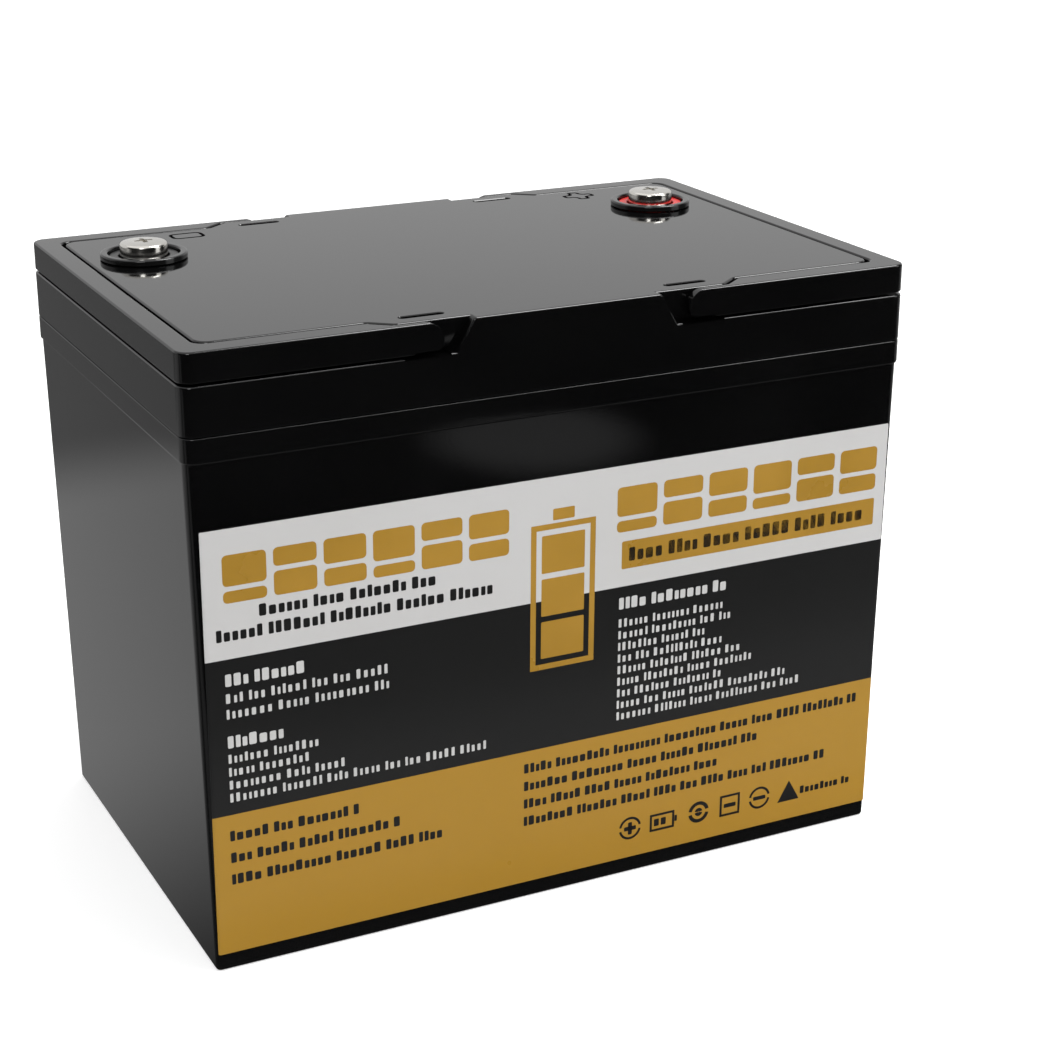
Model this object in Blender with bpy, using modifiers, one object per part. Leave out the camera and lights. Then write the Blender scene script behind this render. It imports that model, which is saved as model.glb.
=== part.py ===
"""A 12 V deep cycle lithium battery: ABS case and lid, two flip-up carrying handles, two M8 bolt
terminals, and the cell pack, busbars, protection board and cables inside. Metres, +Z up, the origin
at the middle of the base, +X along the length and -Y out of the labelled front."""

import math

import bmesh
import bpy
from mathutils import Matrix, Vector

MM = 0.001
GAP = 0.3 * MM                  # clearance between pieces that touch

# ---- driving dimensions ----------------------------------------------------------------------
LENGTH, WIDTH = 260 * MM, 168 * MM
CORNER = 5 * MM                 # radius of the upright corners
WALL = 3 * MM
FLOOR = 3.5 * MM
BASE_DRAFT = 3.2 * MM           # how far the foot of the walls stands in from the rim
WALL_STEP = 0.7 * MM            # how far the rim stands out from the top of the walls
RIM_BOTTOM, RIM_TOP = 175.8 * MM, 184.1 * MM
LID_BOTTOM = RIM_TOP + GAP
LEDGE = 200.4 * MM              # lid face that the handles lie on
PANEL = 211 * MM                # top face of the lid
PANEL_THICKNESS, PANEL_WALL = 2.2 * MM, 2.4 * MM
TOP_FILLET = 0.8 * MM
TONGUE_INSET, TONGUE_WALL = WALL + 1.1 * MM, 2 * MM
TONGUE_DEPTH = 5.5 * MM         # how far the lid reaches down inside the rim

# The raised panel of the lid, seen from above.
PANEL_HALF_LENGTH = 121.05 * MM
PANEL_HALF_WIDTH = 74.55 * MM   # beside the wide part of the handle arms
NECK_HALF_WIDTH = 80.4 * MM     # beside the thin part of the handle arms
NECK_START, NECK_END = 66.2 * MM, 58.9 * MM
NECK_RADIUS = 3 * MM
BLOCK_TOP_HALF, BLOCK_FOOT_HALF, BLOCK_FILLET = 33.5 * MM, 39.7 * MM, 1.5 * MM
SLOT_X, SLOT_Y, SLOT_HALF_LENGTH, SLOT_HALF_WIDTH = 47.5 * MM, 74 * MM, 7.7 * MM, 1 * MM
SLOT_DEPTH = 4 * MM
MINUS_X, PLUS_X, MARK_Y = -77.7 * MM, 81 * MM, 66 * MM
MARK_DEPTH, MARK_LINE = 0.5 * MM, 1.2 * MM

# Carrying handles.
GROOVE = 0.9 * MM
HANDLE_BOTTOM = 202 * MM
ARM_END = 44 * MM               # |x| of the rounded arm ends
ARM_LOWER_RADIUS, ARM_UPPER_RADIUS = 2.8 * MM, 6 * MM
PIVOT_X, PIVOT_Z = 49.5 * MM, 206.1 * MM
PIN_RADIUS = 2.2 * MM
PIN_END = 75.6 * MM             # |y| that the pivot pins reach inwards to
RELIEF, RELIEF_LENGTH = 0.6 * MM, 16 * MM   # ledge relief that the arm ends turn in

# Terminals.
NEGATIVE_X, POSITIVE_X, TERMINAL_Y = -101.8 * MM, 98 * MM, 39.5 * MM
HEAD_BOTTOM, HEAD_TOP = 212.2 * MM, 217.2 * MM
HEAD_RADIUS = 8.2 * MM
BOLT_RADIUS, BOLT_LENGTH = 4 * MM, 16 * MM
COLLAR_RADIUS, COLLAR_BORE, COLLAR_TOP = 15 * MM, 12.4 * MM, 213.4 * MM
RING_RADIUS, RING_BORE, RING_BOTTOM, RING_TOP = 12 * MM, 8.8 * MM, 204 * MM, 212.2 * MM
INSERT_TOP, FLANGE_TOP, FLANGE_BOTTOM = 208 * MM, 195.3 * MM, 190.3 * MM
STUD_END = 174.5 * MM
POCKET_FLOOR_THICKNESS, BOSS_WALL = 4 * MM, 2.2 * MM
SHANK_RADIUS, FLANGE_RADIUS = 8.2 * MM, 11 * MM
WASHER_BORE, FLAT_WASHER_RADIUS, SPRING_WASHER_RADIUS = 4.3 * MM, 8 * MM, 7 * MM
FLAT_WASHER_THICKNESS = 1.5 * MM
LUG_TOP = FLANGE_BOTTOM - POCKET_FLOOR_THICKNESS - 2 * GAP
LUG_THICKNESS, LUG_WIDTH, LUG_REACH = 2 * MM, 17 * MM, 15 * MM
BARREL_RADIUS, BARREL_LENGTH = 5.4 * MM, 16 * MM
CABLE_RADIUS = 4 * MM
NUT_HEIGHT, NUT_FLATS = 6.5 * MM, 13 * MM

# Front label.
LABEL_BOTTOM, LABEL_TOP, LABEL_HALF = 6.4 * MM, 154.2 * MM, 126.2 * MM
LABEL_THICKNESS = 0.2 * MM

# Cell pack.
PAD_THICKNESS = 3 * MM
CELL = Vector((50, 148, 118)) * MM
SPACER = 1 * MM
PITCH = CELL.x + SPACER + 2 * GAP
CELL_BOTTOM = FLOOR + PAD_THICKNESS + 2 * GAP
CELL_TOP = CELL_BOTTOM + CELL.z
POST_Y, POST_RADIUS, POST_HEIGHT = 55 * MM, 7 * MM, 3 * MM
END_PLATE = 5 * MM
BAND_THICKNESS, BAND_WIDTH = 0.6 * MM, 16 * MM
BAR_BOTTOM = CELL_TOP + POST_HEIGHT + GAP
BAR_THICKNESS, BAR_WIDTH, BAR_ARCH = 2 * MM, 22 * MM, 3 * MM
TAB_LUG_MIDDLE = BAR_BOTTOM + BAR_THICKNESS + GAP + LUG_THICKNESS / 2
BOARD_BOTTOM = BAR_BOTTOM + BAR_THICKNESS + BAR_ARCH + GAP
BOARD_THICKNESS = 2 * MM
TRAY_BOTTOM = BOARD_BOTTOM + BOARD_THICKNESS + GAP
BMS_BOTTOM = TRAY_BOTTOM + 10 * MM
BMS_SIZE = Vector((116, 88, 1.6)) * MM
SINK_BOTTOM = BMS_BOTTOM + BMS_SIZE.z + 4.5 * MM
SINK_TOP = SINK_BOTTOM + 11 * MM
BMS_STUD_Y = 36 * MM
BATTERY_STUD_X, OUTPUT_STUD_X = -40 * MM, 0 * MM

PARTS = bpy.data.collections.new("deep_cycle_battery")
CUTTERS = bpy.data.collections.new("cutters")
MATERIALS = {
    "abs": ((0.012, 0.012, 0.013), 0.16, 0.0),
    "black_rubber": ((0.02, 0.02, 0.02), 0.45, 0.0),
    "red_plastic": ((0.55, 0.015, 0.01), 0.3, 0.0),
    "steel": ((0.72, 0.72, 0.70), 0.22, 1.0),
    "brass": ((0.80, 0.60, 0.30), 0.3, 1.0),
    "copper": ((0.80, 0.42, 0.28), 0.3, 1.0),
    "aluminium": ((0.66, 0.67, 0.69), 0.35, 1.0),
    "label_film": ((0.75, 0.75, 0.76), 0.35, 0.0),
    "cell_wrap": ((0.03, 0.10, 0.32), 0.35, 0.0),
    "foam": ((0.10, 0.10, 0.11), 0.95, 0.0),
    "fibre_board": ((0.18, 0.42, 0.30), 0.6, 0.0),
    "circuit_board": ((0.02, 0.12, 0.06), 0.4, 0.0),
    "white_plastic": ((0.75, 0.74, 0.70), 0.45, 0.0),
    "red_insulation": ((0.50, 0.02, 0.02), 0.45, 0.0),
    "black_insulation": ((0.02, 0.02, 0.02), 0.5, 0.0),
}


def start():
    """Empties the scene and links the two collections."""
    for old in list(bpy.data.objects):
        bpy.data.objects.remove(old, do_unlink=True)
    for group in (PARTS, CUTTERS):
        bpy.context.scene.collection.children.link(group)


def material(name):
    """The Principled material of that name, made when it is first asked for."""
    made = bpy.data.materials.get(name)
    if made:
        return made
    colour, roughness, metallic = MATERIALS[name]
    made = bpy.data.materials.new(name)
    made.use_nodes = True
    shader = made.node_tree.nodes["Principled BSDF"]
    shader.inputs["Base Color"].default_value = (*colour, 1)
    shader.inputs["Roughness"].default_value = roughness
    shader.inputs["Metallic"].default_value = metallic
    made.diffuse_color = (*colour, 1)
    return made


def part(name, mesh, finish, at=(0, 0, 0)):
    """A sub-part, shaded smooth except over edges sharper than 35 degrees."""
    mesh.shade_smooth()
    mesh.set_sharp_from_angle(angle=math.radians(35))
    mesh.materials.append(material(finish))
    piece = bpy.data.objects.new(name, mesh)
    piece.location = at
    PARTS.objects.link(piece)
    return piece


def cutter(name, mesh, at=(0, 0, 0)):
    """A shape used only by Booleans."""
    guide = bpy.data.objects.new(name, mesh)
    guide.location = at
    guide.hide_render = True
    guide.display_type = "WIRE"
    CUTTERS.objects.link(guide)
    return guide


def boolean(piece, operation, other):
    """Adds an exact Boolean of the other object to the piece."""
    step = piece.modifiers.new(f"{operation.lower()}_{other.name}", "BOOLEAN")
    step.operation = operation
    step.solver = "EXACT"
    step.object = other


def bevel(piece, width, segments=2, angle=35):
    """Rounds the edges sharper than the angle."""
    step = piece.modifiers.new("round_edges", "BEVEL")
    step.width = width
    step.segments = segments
    step.limit_method = "ANGLE"
    step.angle_limit = math.radians(angle)


# ---- outlines and meshes ---------------------------------------------------------------------

def rounded_polygon(corners, steps=5):
    """Corners (x, y, radius) as an outline with an arc at each corner that has a radius."""
    outline = []
    for i, (x, y, radius) in enumerate(corners):
        corner = Vector((x, y))
        if not radius:
            outline.append(corner)
            continue
        before = (Vector(corners[i - 1][:2]) - corner).normalized()
        after = (Vector(corners[(i + 1) % len(corners)][:2]) - corner).normalized()
        half = before.angle(after) / 2
        centre = corner + (before + after).normalized() * (radius / math.sin(half))
        first = corner + before * (radius / math.tan(half)) - centre
        last = corner + after * (radius / math.tan(half)) - centre
        turn = math.atan2(first.cross(last), first.dot(last))
        for step in range(steps + 1):
            outline.append(centre + Matrix.Rotation(turn * step / steps, 2) @ first)
    return outline


def rounded_rectangle(half_x, half_y, radius, steps=5):
    corners = ((1, 1), (-1, 1), (-1, -1), (1, -1))
    return rounded_polygon([(x * half_x, y * half_y, radius) for x, y in corners], steps)


def cross(half, arm, radius=0, steps=3):
    """A plus sign whose arms are twice the half width wide and reach the arm length."""
    corners = []
    for quarter in range(4):
        turn = Matrix.Rotation(math.pi / 2 * quarter, 2)
        for x, y in ((half, half), (half, arm), (-half, arm)):
            corners.append((*(turn @ Vector((x, y))), radius))
    return rounded_polygon(corners, steps)


def inset(outline, distance):
    """The anticlockwise outline moved inwards by the distance."""
    moved = []
    for i, point in enumerate(outline):
        into = (point - outline[i - 1]).normalized()
        onward = (outline[(i + 1) % len(outline)] - point).normalized()
        sides = Vector((-into.y, into.x)), Vector((-onward.y, onward.x))
        moved.append(point + (sides[0] + sides[1]) * (distance / (1 + sides[0].dot(sides[1]))))
    return moved


def loft(name, outline, levels, ring=False, upright=False):
    """A mesh through copies of the outline, one at each level (z, inset), capped at both ends, or
    joined end to start as a ring. An upright loft has its outline in XZ and its levels along -Y."""
    shape = bmesh.new()
    rows = [[shape.verts.new((p.x, p.y, z)) for p in inset(outline, distance)]
            for z, distance in levels]
    pairs = list(zip(rows, rows[1:]))
    if ring:
        pairs.append((rows[-1], rows[0]))
    else:
        shape.faces.new(reversed(rows[0]))
        shape.faces.new(rows[-1])
    for low, high in pairs:
        for i in range(len(low)):
            shape.faces.new((low[i - 1], low[i], high[i], high[i - 1]))
    if upright:
        bmesh.ops.transform(shape, matrix=Matrix.Rotation(math.pi / 2, 4, "X"), verts=shape.verts)
    bmesh.ops.recalc_face_normals(shape, faces=shape.faces)
    mesh = bpy.data.meshes.new(name)
    shape.to_mesh(mesh)
    shape.free()
    return mesh


def rounded_top(z, radius, steps=3):
    """Levels that round an edge over into the flat top at z."""
    turns = [math.pi / 2 * step / steps for step in range(steps + 1)]
    return [(z - radius + radius * math.sin(t), radius - radius * math.cos(t)) for t in turns]


def box(name, size):
    """A block centred on its own origin."""
    shape = bmesh.new()
    bmesh.ops.create_cube(shape, size=1, matrix=Matrix.Diagonal((*size, 1)))
    mesh = bpy.data.meshes.new(name)
    shape.to_mesh(mesh)
    shape.free()
    return mesh


def cylinder(name, radius, depth, segments=24, axis="Z"):
    """A cylinder centred on its own origin, along the named axis."""
    turn = {"X": Matrix.Rotation(math.pi / 2, 4, "Y"), "Y": Matrix.Rotation(math.pi / 2, 4, "X"),
            "Z": Matrix()}[axis]
    shape = bmesh.new()
    bmesh.ops.create_cone(shape, cap_ends=True, segments=segments, radius1=radius, radius2=radius,
                          depth=depth, matrix=turn)
    mesh = bpy.data.meshes.new(name)
    shape.to_mesh(mesh)
    shape.free()
    return mesh


def turned(name, profile, finish, at, closed=True, steps=28):
    """A turned piece: the profile (radius, z) runs down its outer side. A profile that starts and
    ends on the axis is left open, and any other is a closed loop."""
    mesh = bpy.data.meshes.new(name)
    count = len(profile)
    edges = [(i, i + 1) for i in range(count - 1)] + ([(count - 1, 0)] if closed else [])
    mesh.from_pydata([(radius, 0, z) for radius, z in profile], edges, [])
    piece = part(name, mesh, finish, at)
    spin = piece.modifiers.new("turn", "SCREW")
    spin.steps = spin.render_steps = steps
    spin.use_merge_vertices = True
    spin.merge_threshold = 1e-6
    spin.use_smooth_shade = True
    return piece


def tube(name, points, radius, finish, resolution=2, spacing=3):
    """A cable along a smooth curve through the points, with a point every few radii."""
    route = [Vector(p) for p in points]
    ends = [2 * route[0] - route[1], *route, 2 * route[-1] - route[-2]]
    samples = []
    for before, a, b, after in zip(ends, ends[1:], ends[2:], ends[3:]):
        count = max(2, round((b - a).length / (spacing * radius)))
        for step in range(count):
            t = step / count
            bend = (2 * before - 5 * a + 4 * b - after) * t ** 2
            bend += (3 * a - before - 3 * b + after) * t ** 3
            samples.append(0.5 * (2 * a + (b - before) * t + bend))
    samples.append(route[-1])
    curve = bpy.data.curves.new(name, "CURVE")
    curve.dimensions = "3D"
    curve.bevel_depth = radius
    curve.bevel_resolution = resolution
    curve.use_fill_caps = True
    line = curve.splines.new("POLY")
    line.points.add(len(samples) - 1)
    for point, sample in zip(line.points, samples):
        point.co = (*sample, 1)
    curve.materials.append(material(finish))
    piece = bpy.data.objects.new(name, curve)
    PARTS.objects.link(piece)
    return piece


# ---- case, lid and label ---------------------------------------------------------------------

OUTLINE = rounded_rectangle(LENGTH / 2, WIDTH / 2, CORNER)
ROOM_OUTLINE = rounded_rectangle(LENGTH / 2, WIDTH / 2, CORNER + WALL)


def wall_inset(z):
    """How far the outer wall stands in from the rim at a height below the rim."""
    return BASE_DRAFT + (WALL_STEP - BASE_DRAFT) * z / RIM_BOTTOM


def make_case():
    """The open tub, with a rim that stands out a little and a softened foot."""
    foot = 1.2 * MM
    outside = [(0, BASE_DRAFT + foot), (0.35 * foot, BASE_DRAFT + 0.35 * foot), (foot, BASE_DRAFT),
               (RIM_BOTTOM, WALL_STEP), (RIM_BOTTOM + 0.5 * MM, 0), (RIM_TOP - GAP, 0), (RIM_TOP, GAP)]
    case = part("case", loft("case", OUTLINE, outside), "abs")
    room = [(FLOOR, wall_inset(0) + WALL + MM), (FLOOR + MM, wall_inset(0) + WALL),
            (RIM_BOTTOM, WALL_STEP + WALL), (RIM_TOP + MM, WALL)]
    boolean(case, "DIFFERENCE", cutter("case_room", loft("case_room", ROOM_OUTLINE, room)))


def panel_outline():
    """The raised panel from above: full length between the handles, wider at its necks."""
    quarter = [(PANEL_HALF_LENGTH, PANEL_HALF_WIDTH, CORNER),
               (NECK_START, PANEL_HALF_WIDTH, NECK_RADIUS), (NECK_END, NECK_HALF_WIDTH, NECK_RADIUS)]
    corners = quarter + [(-x, y, r) for x, y, r in reversed(quarter)]
    corners += [(-x, -y, r) for x, y, r in quarter] + [(x, -y, r) for x, y, r in reversed(quarter)]
    return rounded_polygon(corners, steps=4)


def terminal_axis(sign):
    """A point on the axis of the negative terminal (-1) or of the positive one (1)."""
    return Vector((NEGATIVE_X if sign < 0 else POSITIVE_X, TERMINAL_Y, 0))


def both_sides(function, *given):
    """Calls the function for the left side and for the right one."""
    for side, sign in (("left", -1), ("right", 1)):
        function(*given, side, sign)


def make_lid():
    """The lid: a flanged band with a tongue inside the rim, the raised panel, and the block between
    the handles that reaches the front and back faces, all hollow from below."""
    band = [(LID_BOTTOM, GAP), (LID_BOTTOM + GAP, 0)] + rounded_top(LEDGE, TOP_FILLET)
    lid = part("lid", loft("lid", OUTLINE, band), "abs")
    foot = RIM_TOP - TONGUE_DEPTH
    levels = [(foot, TONGUE_INSET + GAP), (foot + GAP, TONGUE_INSET), (LID_BOTTOM + MM, TONGUE_INSET)]
    boolean(lid, "UNION", cutter("tongue", loft("tongue", ROOM_OUTLINE, levels)))
    panel = panel_outline()
    raised = loft("raised_panel", panel, [(LEDGE - 2 * MM, 0)] + rounded_top(PANEL, TOP_FILLET))
    boolean(lid, "UNION", cutter("raised_panel", raised))
    boolean(lid, "UNION", cutter("middle_block", middle_block()))
    both_sides(relieve_ledge, lid)

    inner = TONGUE_INSET + TONGUE_WALL
    room = [(foot - 6 * MM, inner), (LID_BOTTOM + 5 * MM, inner), (LID_BOTTOM + 9 * MM, WALL),
            (LEDGE - WALL, WALL)]
    boolean(lid, "DIFFERENCE", cutter("band_room", loft("band_room", ROOM_OUTLINE, room)))
    room = [(LEDGE - 8 * MM, PANEL_WALL), (PANEL - PANEL_THICKNESS, PANEL_WALL)]
    boolean(lid, "DIFFERENCE", cutter("panel_room", loft("panel_room", panel, room)))
    both_sides(cut_pocket, lid)
    both_sides(cut_pivots_and_slots, lid)
    engrave_marks(lid)


def middle_block():
    """The block between the handles, with leaning ends and fillets along the front and back."""
    sunk = 2 * MM
    spread = sunk * (BLOCK_FOOT_HALF - BLOCK_TOP_HALF) / (PANEL - LEDGE)
    foot, low = BLOCK_FOOT_HALF + spread, LEDGE - sunk
    outline = rounded_polygon([(-foot, low, 0), (foot, low, 0), (BLOCK_TOP_HALF, PANEL, BLOCK_FILLET),
                               (-BLOCK_TOP_HALF, PANEL, BLOCK_FILLET)])
    back = rounded_top(WIDTH / 2, TOP_FILLET)
    front = [(-y, distance) for y, distance in reversed(back)]
    return loft("middle_block", outline, front + back, upright=True)


def relieve_ledge(lid, side, sign):
    """Lowers the ledge a little under the arm ends, which dip as the handle turns up."""
    depth, wide = 2 * MM, 1 * MM
    at = (sign * PIVOT_X, 0, LEDGE - RELIEF + depth / 2)
    pocket = cutter(f"{side}_relief", box("relief", (RELIEF_LENGTH, WIDTH + 10 * MM, depth)), at)
    keep = box("shield", (RELIEF_LENGTH + wide, 2 * NECK_HALF_WIDTH - wide, depth + wide))
    boolean(pocket, "DIFFERENCE", cutter(f"{side}_relief_shield", keep, at))
    boolean(lid, "DIFFERENCE", pocket)


def cut_pocket(lid, side, sign):
    """A boss under the panel that holds the terminal insert, with the polarity ring's seat over it."""
    at = terminal_axis(sign)
    floor, step = FLANGE_BOTTOM - GAP, RING_BOTTOM - GAP
    low = floor - POCKET_FLOOR_THICKNESS
    seat = RING_RADIUS + GAP
    shapes = (("UNION", "boss", seat + BOSS_WALL, low, PANEL - MM),
              ("DIFFERENCE", "seat", seat, step, PANEL + MM),
              ("DIFFERENCE", "pocket", FLANGE_RADIUS + GAP, floor, step + MM),
              ("DIFFERENCE", "stud_hole", BOLT_RADIUS + 0.4 * MM, low - MM, floor + MM))
    for operation, name, radius, bottom, top in shapes:
        middle = at + Vector((0, 0, (bottom + top) / 2))
        shape = cylinder(name, radius, top - bottom, 32)
        boolean(lid, operation, cutter(f"{side}_{name}", shape, middle))


def cut_pivots_and_slots(lid, side, sign):
    """The bore that both pins of a handle turn in, and the two narrow slots beside its arm ends."""
    bore = cylinder("pivot_bore", PIN_RADIUS + GAP, WIDTH + 4 * MM, 24, "Y")
    boolean(lid, "DIFFERENCE", cutter(f"{side}_bore", bore, (sign * PIVOT_X, 0, PIVOT_Z)))
    outline = rounded_rectangle(SLOT_HALF_LENGTH, SLOT_HALF_WIDTH, 0.99 * SLOT_HALF_WIDTH, 3)
    for face, lean in (("front", -1), ("back", 1)):
        slot = loft("slot", outline, [(PANEL - SLOT_DEPTH, 0), (PANEL + MM, 0)])
        at = (sign * SLOT_X, lean * SLOT_Y, 0)
        boolean(lid, "DIFFERENCE", cutter(f"{face}_{side}_slot", slot, at))


def engrave_marks(lid):
    """Outlined minus and plus signs beside the terminals."""
    floor, line = PANEL - MARK_DEPTH, MARK_LINE
    groove = [(floor, 0), (PANEL + MM, 0), (PANEL + MM, line), (floor, line)]
    minus = rounded_rectangle(6.2 * MM, 4.2 * MM, 2.6 * MM, 3)
    plus = cross(2.4 * MM, 6.3 * MM, 1.5 * MM)
    for name, outline, x in (("minus", minus, MINUS_X), ("plus", plus, PLUS_X)):
        mark = cutter(f"{name}_groove", loft(name, outline, groove, ring=True), (x, MARK_Y, 0))
        boolean(lid, "DIFFERENCE", mark)


def make_label():
    """Printed film on the front wall, wrapped a little round both corners."""
    near, far = wall_inset(0) - GAP, WALL_STEP - GAP
    film = [(0, near), (RIM_BOTTOM, far), (RIM_BOTTOM, far - LABEL_THICKNESS),
            (0, near - LABEL_THICKNESS)]
    label = part("front_label", loft("front_label", OUTLINE, film, ring=True), "label_film")
    corners = ((-1, LABEL_BOTTOM), (1, LABEL_BOTTOM), (1, LABEL_TOP), (-1, LABEL_TOP))
    sheet = rounded_polygon([(side * LABEL_HALF, z, 1.5 * MM) for side, z in corners], 3)
    keep = loft("label_sheet", sheet, [(0.4 * WIDTH, 0), (0.6 * WIDTH, 0)], upright=True)
    boolean(label, "INTERSECT", cutter("label_sheet", keep))


def make_handle(side, sign):
    """A U-shaped handle round one end of the lid, turning on two pins moulded on its arms."""
    thin, wide = NECK_HALF_WIDTH + GROOVE, PANEL_HALF_WIDTH + GROOVE
    grip, soft = PANEL_HALF_LENGTH + GROOVE, 0.5 * MM
    back = [(LENGTH / 2, WIDTH / 2, CORNER), (ARM_END, WIDTH / 2, 0), (ARM_END, thin, 0),
            (NECK_END + GROOVE, thin, NECK_RADIUS), (NECK_START + GROOVE, wide, NECK_RADIUS),
            (grip, wide, CORNER - GROOVE)]
    front = [(x, -y, radius) for x, y, radius in reversed(back)]
    outline = rounded_polygon(back + front, steps=4)
    levels = [(HANDLE_BOTTOM, soft), (HANDLE_BOTTOM + soft, 0)] + rounded_top(PANEL, TOP_FILLET)
    mesh = loft(f"{side}_handle", outline, levels)
    profile = [(ARM_END, HANDLE_BOTTOM, ARM_LOWER_RADIUS), (LENGTH, HANDLE_BOTTOM, 0),
               (LENGTH, PANEL, 0), (ARM_END, PANEL, ARM_UPPER_RADIUS)]
    end = loft("arm_end", rounded_polygon(profile, 6), [(-WIDTH, 0), (WIDTH, 0)], upright=True)
    for shape in (mesh, end):
        shape.transform(Matrix.Translation((-PIVOT_X, 0, -PIVOT_Z)))
        if sign < 0:
            shape.transform(Matrix.Scale(-1, 4, (1, 0, 0)))
            shape.flip_normals()
    place = (sign * PIVOT_X, 0, PIVOT_Z)
    handle = part(f"{side}_handle", mesh, "abs", place)
    boolean(handle, "INTERSECT", cutter(f"{side}_arm_end", end, place))
    sunk = 0.8 * MM
    reach = thin + sunk - PIN_END
    for face, lean in (("front", -1), ("back", 1)):
        at = (sign * PIVOT_X, lean * (PIN_END + reach / 2), PIVOT_Z)
        pin = cutter(f"{face}_{side}_pin", cylinder("pin", PIN_RADIUS, reach, 24, "Y"), at)
        boolean(handle, "UNION", pin)


# ---- terminals -------------------------------------------------------------------------------

def make_terminal(side, sign):
    """One terminal post with its collar, polarity ring, bolt, washers, inner lug and nut."""
    pole = "negative" if sign < 0 else "positive"
    at = terminal_axis(sign)
    soft = 0.6 * MM
    bottom = PANEL + GAP
    turned(f"{pole}_collar", [(COLLAR_BORE + soft, COLLAR_TOP), (COLLAR_RADIUS - soft, COLLAR_TOP),
           (COLLAR_RADIUS - 0.3 * soft, COLLAR_TOP - 0.3 * soft), (COLLAR_RADIUS, COLLAR_TOP - soft),
           (COLLAR_RADIUS, bottom), (COLLAR_BORE, bottom), (COLLAR_BORE, COLLAR_TOP - soft),
           (COLLAR_BORE + 0.3 * soft, COLLAR_TOP - 0.3 * soft)], "abs", at, steps=40)
    ring = "black_rubber" if sign < 0 else "red_plastic"
    turned(f"{pole}_polarity_ring", [(RING_BORE + soft, RING_TOP), (RING_RADIUS - soft, RING_TOP),
           (RING_RADIUS, RING_TOP - soft), (RING_RADIUS, RING_BOTTOM), (RING_BORE, RING_BOTTOM),
           (RING_BORE, RING_TOP - soft)], ring, at)

    shank, hole, flange = SHANK_RADIUS, BOLT_RADIUS + GAP, FLANGE_RADIUS
    hole_bottom = HEAD_BOTTOM - BOLT_LENGTH - 1.4 * MM
    turned(f"{pole}_terminal", [(0, hole_bottom), (hole, hole_bottom), (hole, INSERT_TOP),
           (shank - 0.5 * MM, INSERT_TOP), (shank, INSERT_TOP - 0.5 * MM), (shank, FLANGE_TOP),
           (flange, FLANGE_TOP), (flange, FLANGE_BOTTOM), (BOLT_RADIUS, FLANGE_BOTTOM),
           (BOLT_RADIUS, STUD_END + 0.8 * MM), (BOLT_RADIUS - 0.8 * MM, STUD_END), (0, STUD_END)],
           "brass", at, closed=False)

    washer_bottom = INSERT_TOP + GAP
    washer_top = washer_bottom + FLAT_WASHER_THICKNESS
    make_washer(f"{pole}_flat_washer", FLAT_WASHER_RADIUS, washer_bottom, washer_top, at)
    spring_bottom, spring_top = washer_top + GAP, HEAD_BOTTOM - GAP
    spring = make_washer(f"{pole}_spring_washer", SPRING_WASHER_RADIUS, spring_bottom, spring_top, at)
    split = box("split", (6 * MM, MM, 4 * MM))
    split.transform(Matrix.Rotation(math.radians(25), 4, "X"))
    middle = Vector(((WASHER_BORE + SPRING_WASHER_RADIUS) / 2, 0, (spring_bottom + spring_top) / 2))
    boolean(spring, "DIFFERENCE", cutter(f"{pole}_washer_split", split, at + middle))

    make_bolt(f"{pole}_bolt", at)
    nut_top = LUG_TOP - LUG_THICKNESS - GAP
    make_lug(f"{pole}_lug", at + Vector((0, 0, LUG_TOP - LUG_THICKNESS / 2)), 90 + 90 * sign,
             BOLT_RADIUS + GAP, -1)
    nut = part(f"{pole}_nut", cylinder("nut", NUT_FLATS / math.sqrt(3), NUT_HEIGHT, 6), "steel",
               at + Vector((0, 0, nut_top - NUT_HEIGHT / 2)))
    bevel(nut, 0.5 * MM, 1, 80)
    thread = cylinder("nut_hole", BOLT_RADIUS + GAP, NUT_HEIGHT + 2 * MM, 24)
    boolean(nut, "DIFFERENCE", cutter(f"{pole}_nut_hole", thread, nut.location))


def make_washer(name, radius, bottom, top, at):
    soft = 0.2 * MM
    return turned(name, [(radius - soft, top), (radius, top - soft), (radius, bottom + soft),
                  (radius - soft, bottom), (WASHER_BORE, bottom), (WASHER_BORE, top)], "steel", at)


def make_bolt(name, at):
    """An M8 machine screw with a low round head and a cross recess. Its origin is on its axis."""
    edge, chamfer, tip = 1.1 * MM, 0.8 * MM, HEAD_BOTTOM - BOLT_LENGTH
    shoulder = HEAD_TOP - 0.4 * MM
    profile = [(0, HEAD_TOP), (0.5 * HEAD_RADIUS, HEAD_TOP - 0.12 * MM), (HEAD_RADIUS - edge, shoulder),
               (HEAD_RADIUS - 0.35 * edge, shoulder - 0.35 * edge), (HEAD_RADIUS, shoulder - edge),
               (HEAD_RADIUS, HEAD_BOTTOM + GAP), (HEAD_RADIUS - GAP, HEAD_BOTTOM),
               (BOLT_RADIUS, HEAD_BOTTOM), (BOLT_RADIUS, tip + chamfer), (BOLT_RADIUS - chamfer, tip),
               (0, tip)]
    bolt = turned(name, profile, "steel", at, closed=False)
    levels = [(HEAD_TOP - 2 * MM, 0.35 * MM), (HEAD_TOP + MM, 0)]
    recess = loft("recess", cross(0.9 * MM, 3.6 * MM), levels)
    boolean(bolt, "DIFFERENCE", cutter(f"{name}_recess", recess, at))


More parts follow.
